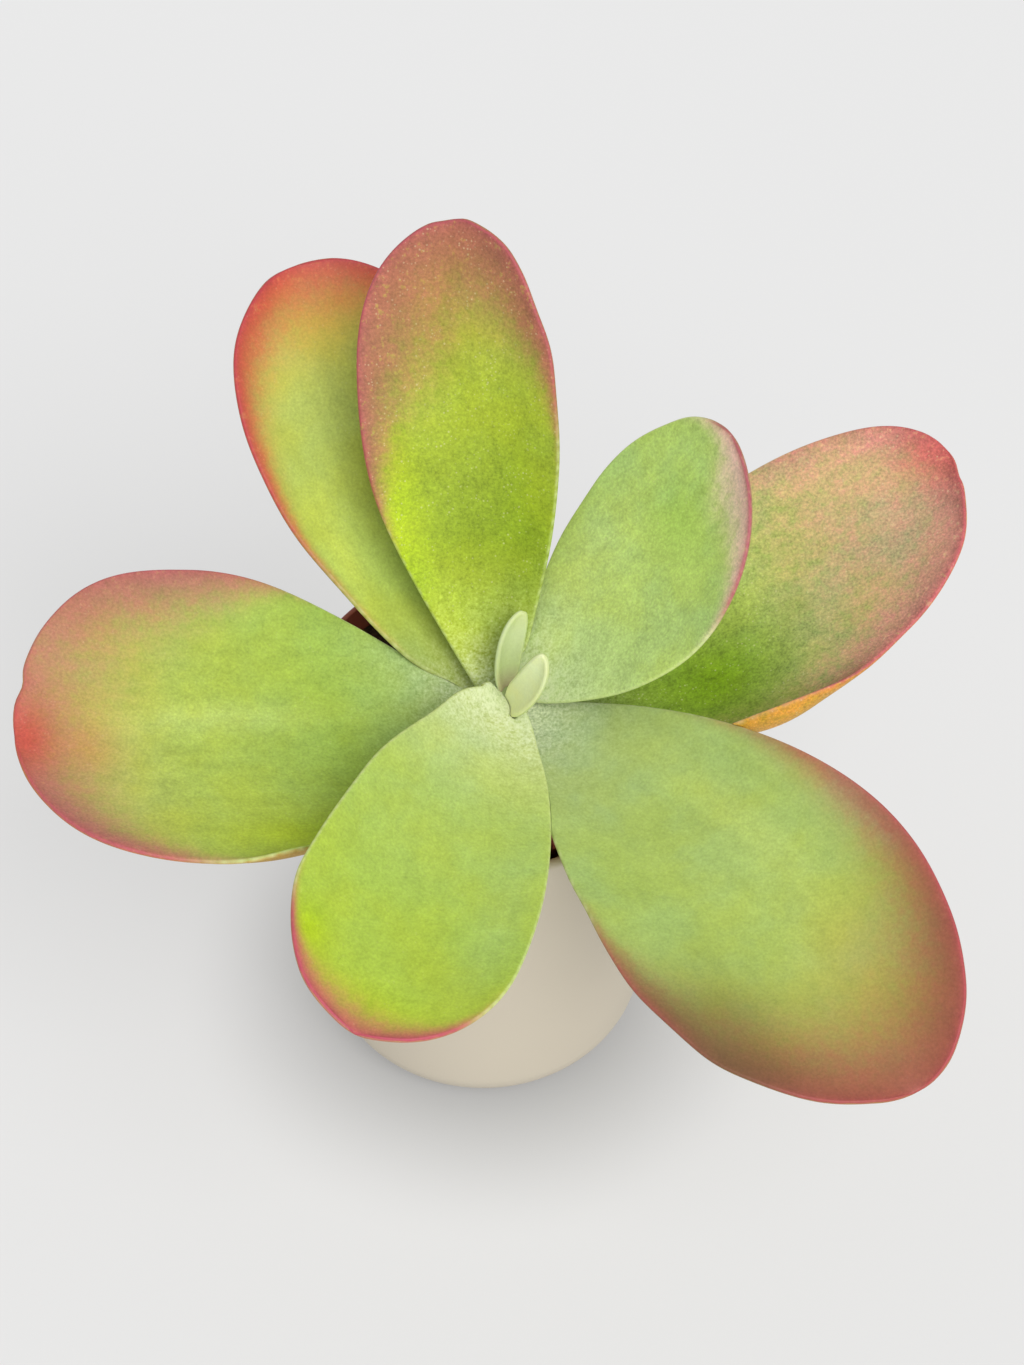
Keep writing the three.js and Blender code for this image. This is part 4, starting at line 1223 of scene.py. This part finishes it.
class PADDLE_OT_potting_mix(bpy.types.Operator):
    """Makes the potting mix and the loose grains on it"""

    bl_idname = "paddle.potting_mix"
    bl_label = "Potting mix"

    def execute(self, context):
        settings = context.scene.paddle_mix
        peat, bark, perlite = (
            new_material(name, potting_grain, dark, light, size_mm)
            for name, dark, light, size_mm in (
                ("peat, loose, dark", "#1D140F", "#4A3527", 1.2),
                ("bark, chipped", "#3C2718", "#7B5A3C", 0.9),
                ("perlite, expanded", "#B9B5A8", "#E4E1D6", 0.7)))
        seat(make_soil(), peat, "potting_mix", "soil")
        tree = crumb_tree()
        bed = soil_top_patch()
        # Name, shape, material, share of the places, sizes in millimetres from and to, and
        # spacing as a multiple of the least one.
        kinds = (
            ("peat_crumbs", (1, 0.8, 0.7), peat, 0.9, 1.2, 3.2, 1.0),
            ("bark_chips", (1, 0.55, 0.3), bark, 0.25, 3.0, 7.0, 3.2),
            ("perlite_grains", (1, 0.85, 0.8), perlite, 0.10, 1.5, 3.2, 3.0),
        )
        for k, (name, shape, material, share, small, large, apart) in enumerate(kinds):
            grain = lump(name + "_grain", shape, settings.seed + k)
            piece = from_tree(name, tree, bed.data.copy(), {
                "Grain": grain, "Spacing": settings.spacing * apart, "Share": share,
                "Smallest": small * MM, "Largest": large * MM, "Seed": settings.seed + k,
                "Material": material})
            bpy.data.objects.remove(grain)
            seat(piece, material, "potting_mix")
        bpy.data.objects.remove(bed)
        return {"FINISHED"}


class PADDLE_OT_stage(bpy.types.Operator):
    """Sets the floor, the light and the camera"""

    bl_idname = "paddle.stage"
    bl_label = "Stage"

    def execute(self, context):
        settings = context.scene.paddle_stage
        scene = context.scene
        scene.view_settings.view_transform = "Standard"
        side = 30000
        corners = [(x * side, y * side, 0) for x, y in ((-1, -1), (1, -1), (1, 1), (-1, 1))]
        floor = new_mesh_object("floor", corners, [(0, 1, 2, 3)])
        material = new_material("opal acrylic table, lit from below, matt", opal_table, settings)
        floor.data.materials.append(material)

        world = bpy.data.worlds.new("even studio light")
        world.use_nodes = True
        world.node_tree.nodes["Background"].inputs["Color"].default_value = (1, 1, 1, 1)
        world.node_tree.nodes["Background"].inputs["Strength"].default_value = settings.sky
        scene.world = world

        lamp = bpy.data.lights.new("large softbox", "SUN")
        lamp.angle = math.radians(42)
        lamp.energy = settings.key
        softbox = bpy.data.objects.new("large softbox", lamp)
        crown = Vector((10, -9, 176)) * MM
        towards_light = Vector((0.42, -0.8, 1.0)).normalized()
        softbox.location = crown + towards_light
        softbox.rotation_euler = towards_light.to_track_quat("Z", "Y").to_euler()
        scene.collection.objects.link(softbox)

        view = bpy.data.cameras.new("camera")
        camera = bpy.data.objects.new("camera", view)
        back = Vector((0, -math.cos(settings.elevation), math.sin(settings.elevation)))
        camera.location = crown + back * settings.distance
        camera.rotation_euler = (-back).to_track_quat("-Z", "Y").to_euler()
        pixels_per_metre = 3120
        frame_height = 1365
        view.sensor_width = 36
        view.lens = pixels_per_metre * settings.distance / frame_height * view.sensor_width
        view.clip_start = 0.05
        view.clip_end = 100
        scene.collection.objects.link(camera)
        scene.camera = camera
        return {"FINISHED"}


class PADDLE_PT_panel(bpy.types.Panel):
    """Lists the steps and settings of the paddle plant"""

    bl_label = "Paddle plant"
    bl_idname = "PADDLE_PT_panel"
    bl_space_type = "VIEW_3D"
    bl_region_type = "UI"
    bl_category = "Paddle plant"

    def draw(self, context):
        for operator in OPERATORS:
            self.layout.operator(operator.bl_idname)
        for name, group in SETTINGS.items():
            box = self.layout.box()
            for field in group.__annotations__:
                box.prop(getattr(context.scene, name), field)


SETTINGS = {
    "paddle_pots": PaddlePotSettings,
    "paddle_leaves": PaddleLeafSettings,
    "paddle_mix": PaddleMixSettings,
    "paddle_stage": PaddleStageSettings,
}
OPERATORS = (PADDLE_OT_stage, PADDLE_OT_cover_pot, PADDLE_OT_nursery_pot,
             PADDLE_OT_potting_mix, PADDLE_OT_stem, PADDLE_OT_blades)


def register():
    for group in (*SETTINGS.values(), *OPERATORS, PADDLE_PT_panel):
        bpy.utils.register_class(group)
    for name, group in SETTINGS.items():
        setattr(bpy.types.Scene, name, PointerProperty(type=group))


def unregister():
    for name in SETTINGS:
        delattr(bpy.types.Scene, name)
    for group in reversed((*SETTINGS.values(), *OPERATORS, PADDLE_PT_panel)):
        bpy.utils.unregister_class(group)


def main():
    register()
    for operator in OPERATORS:
        group, name = operator.bl_idname.split(".")
        getattr(getattr(bpy.ops, group), name)()


if __name__ == "__main__":
    main()
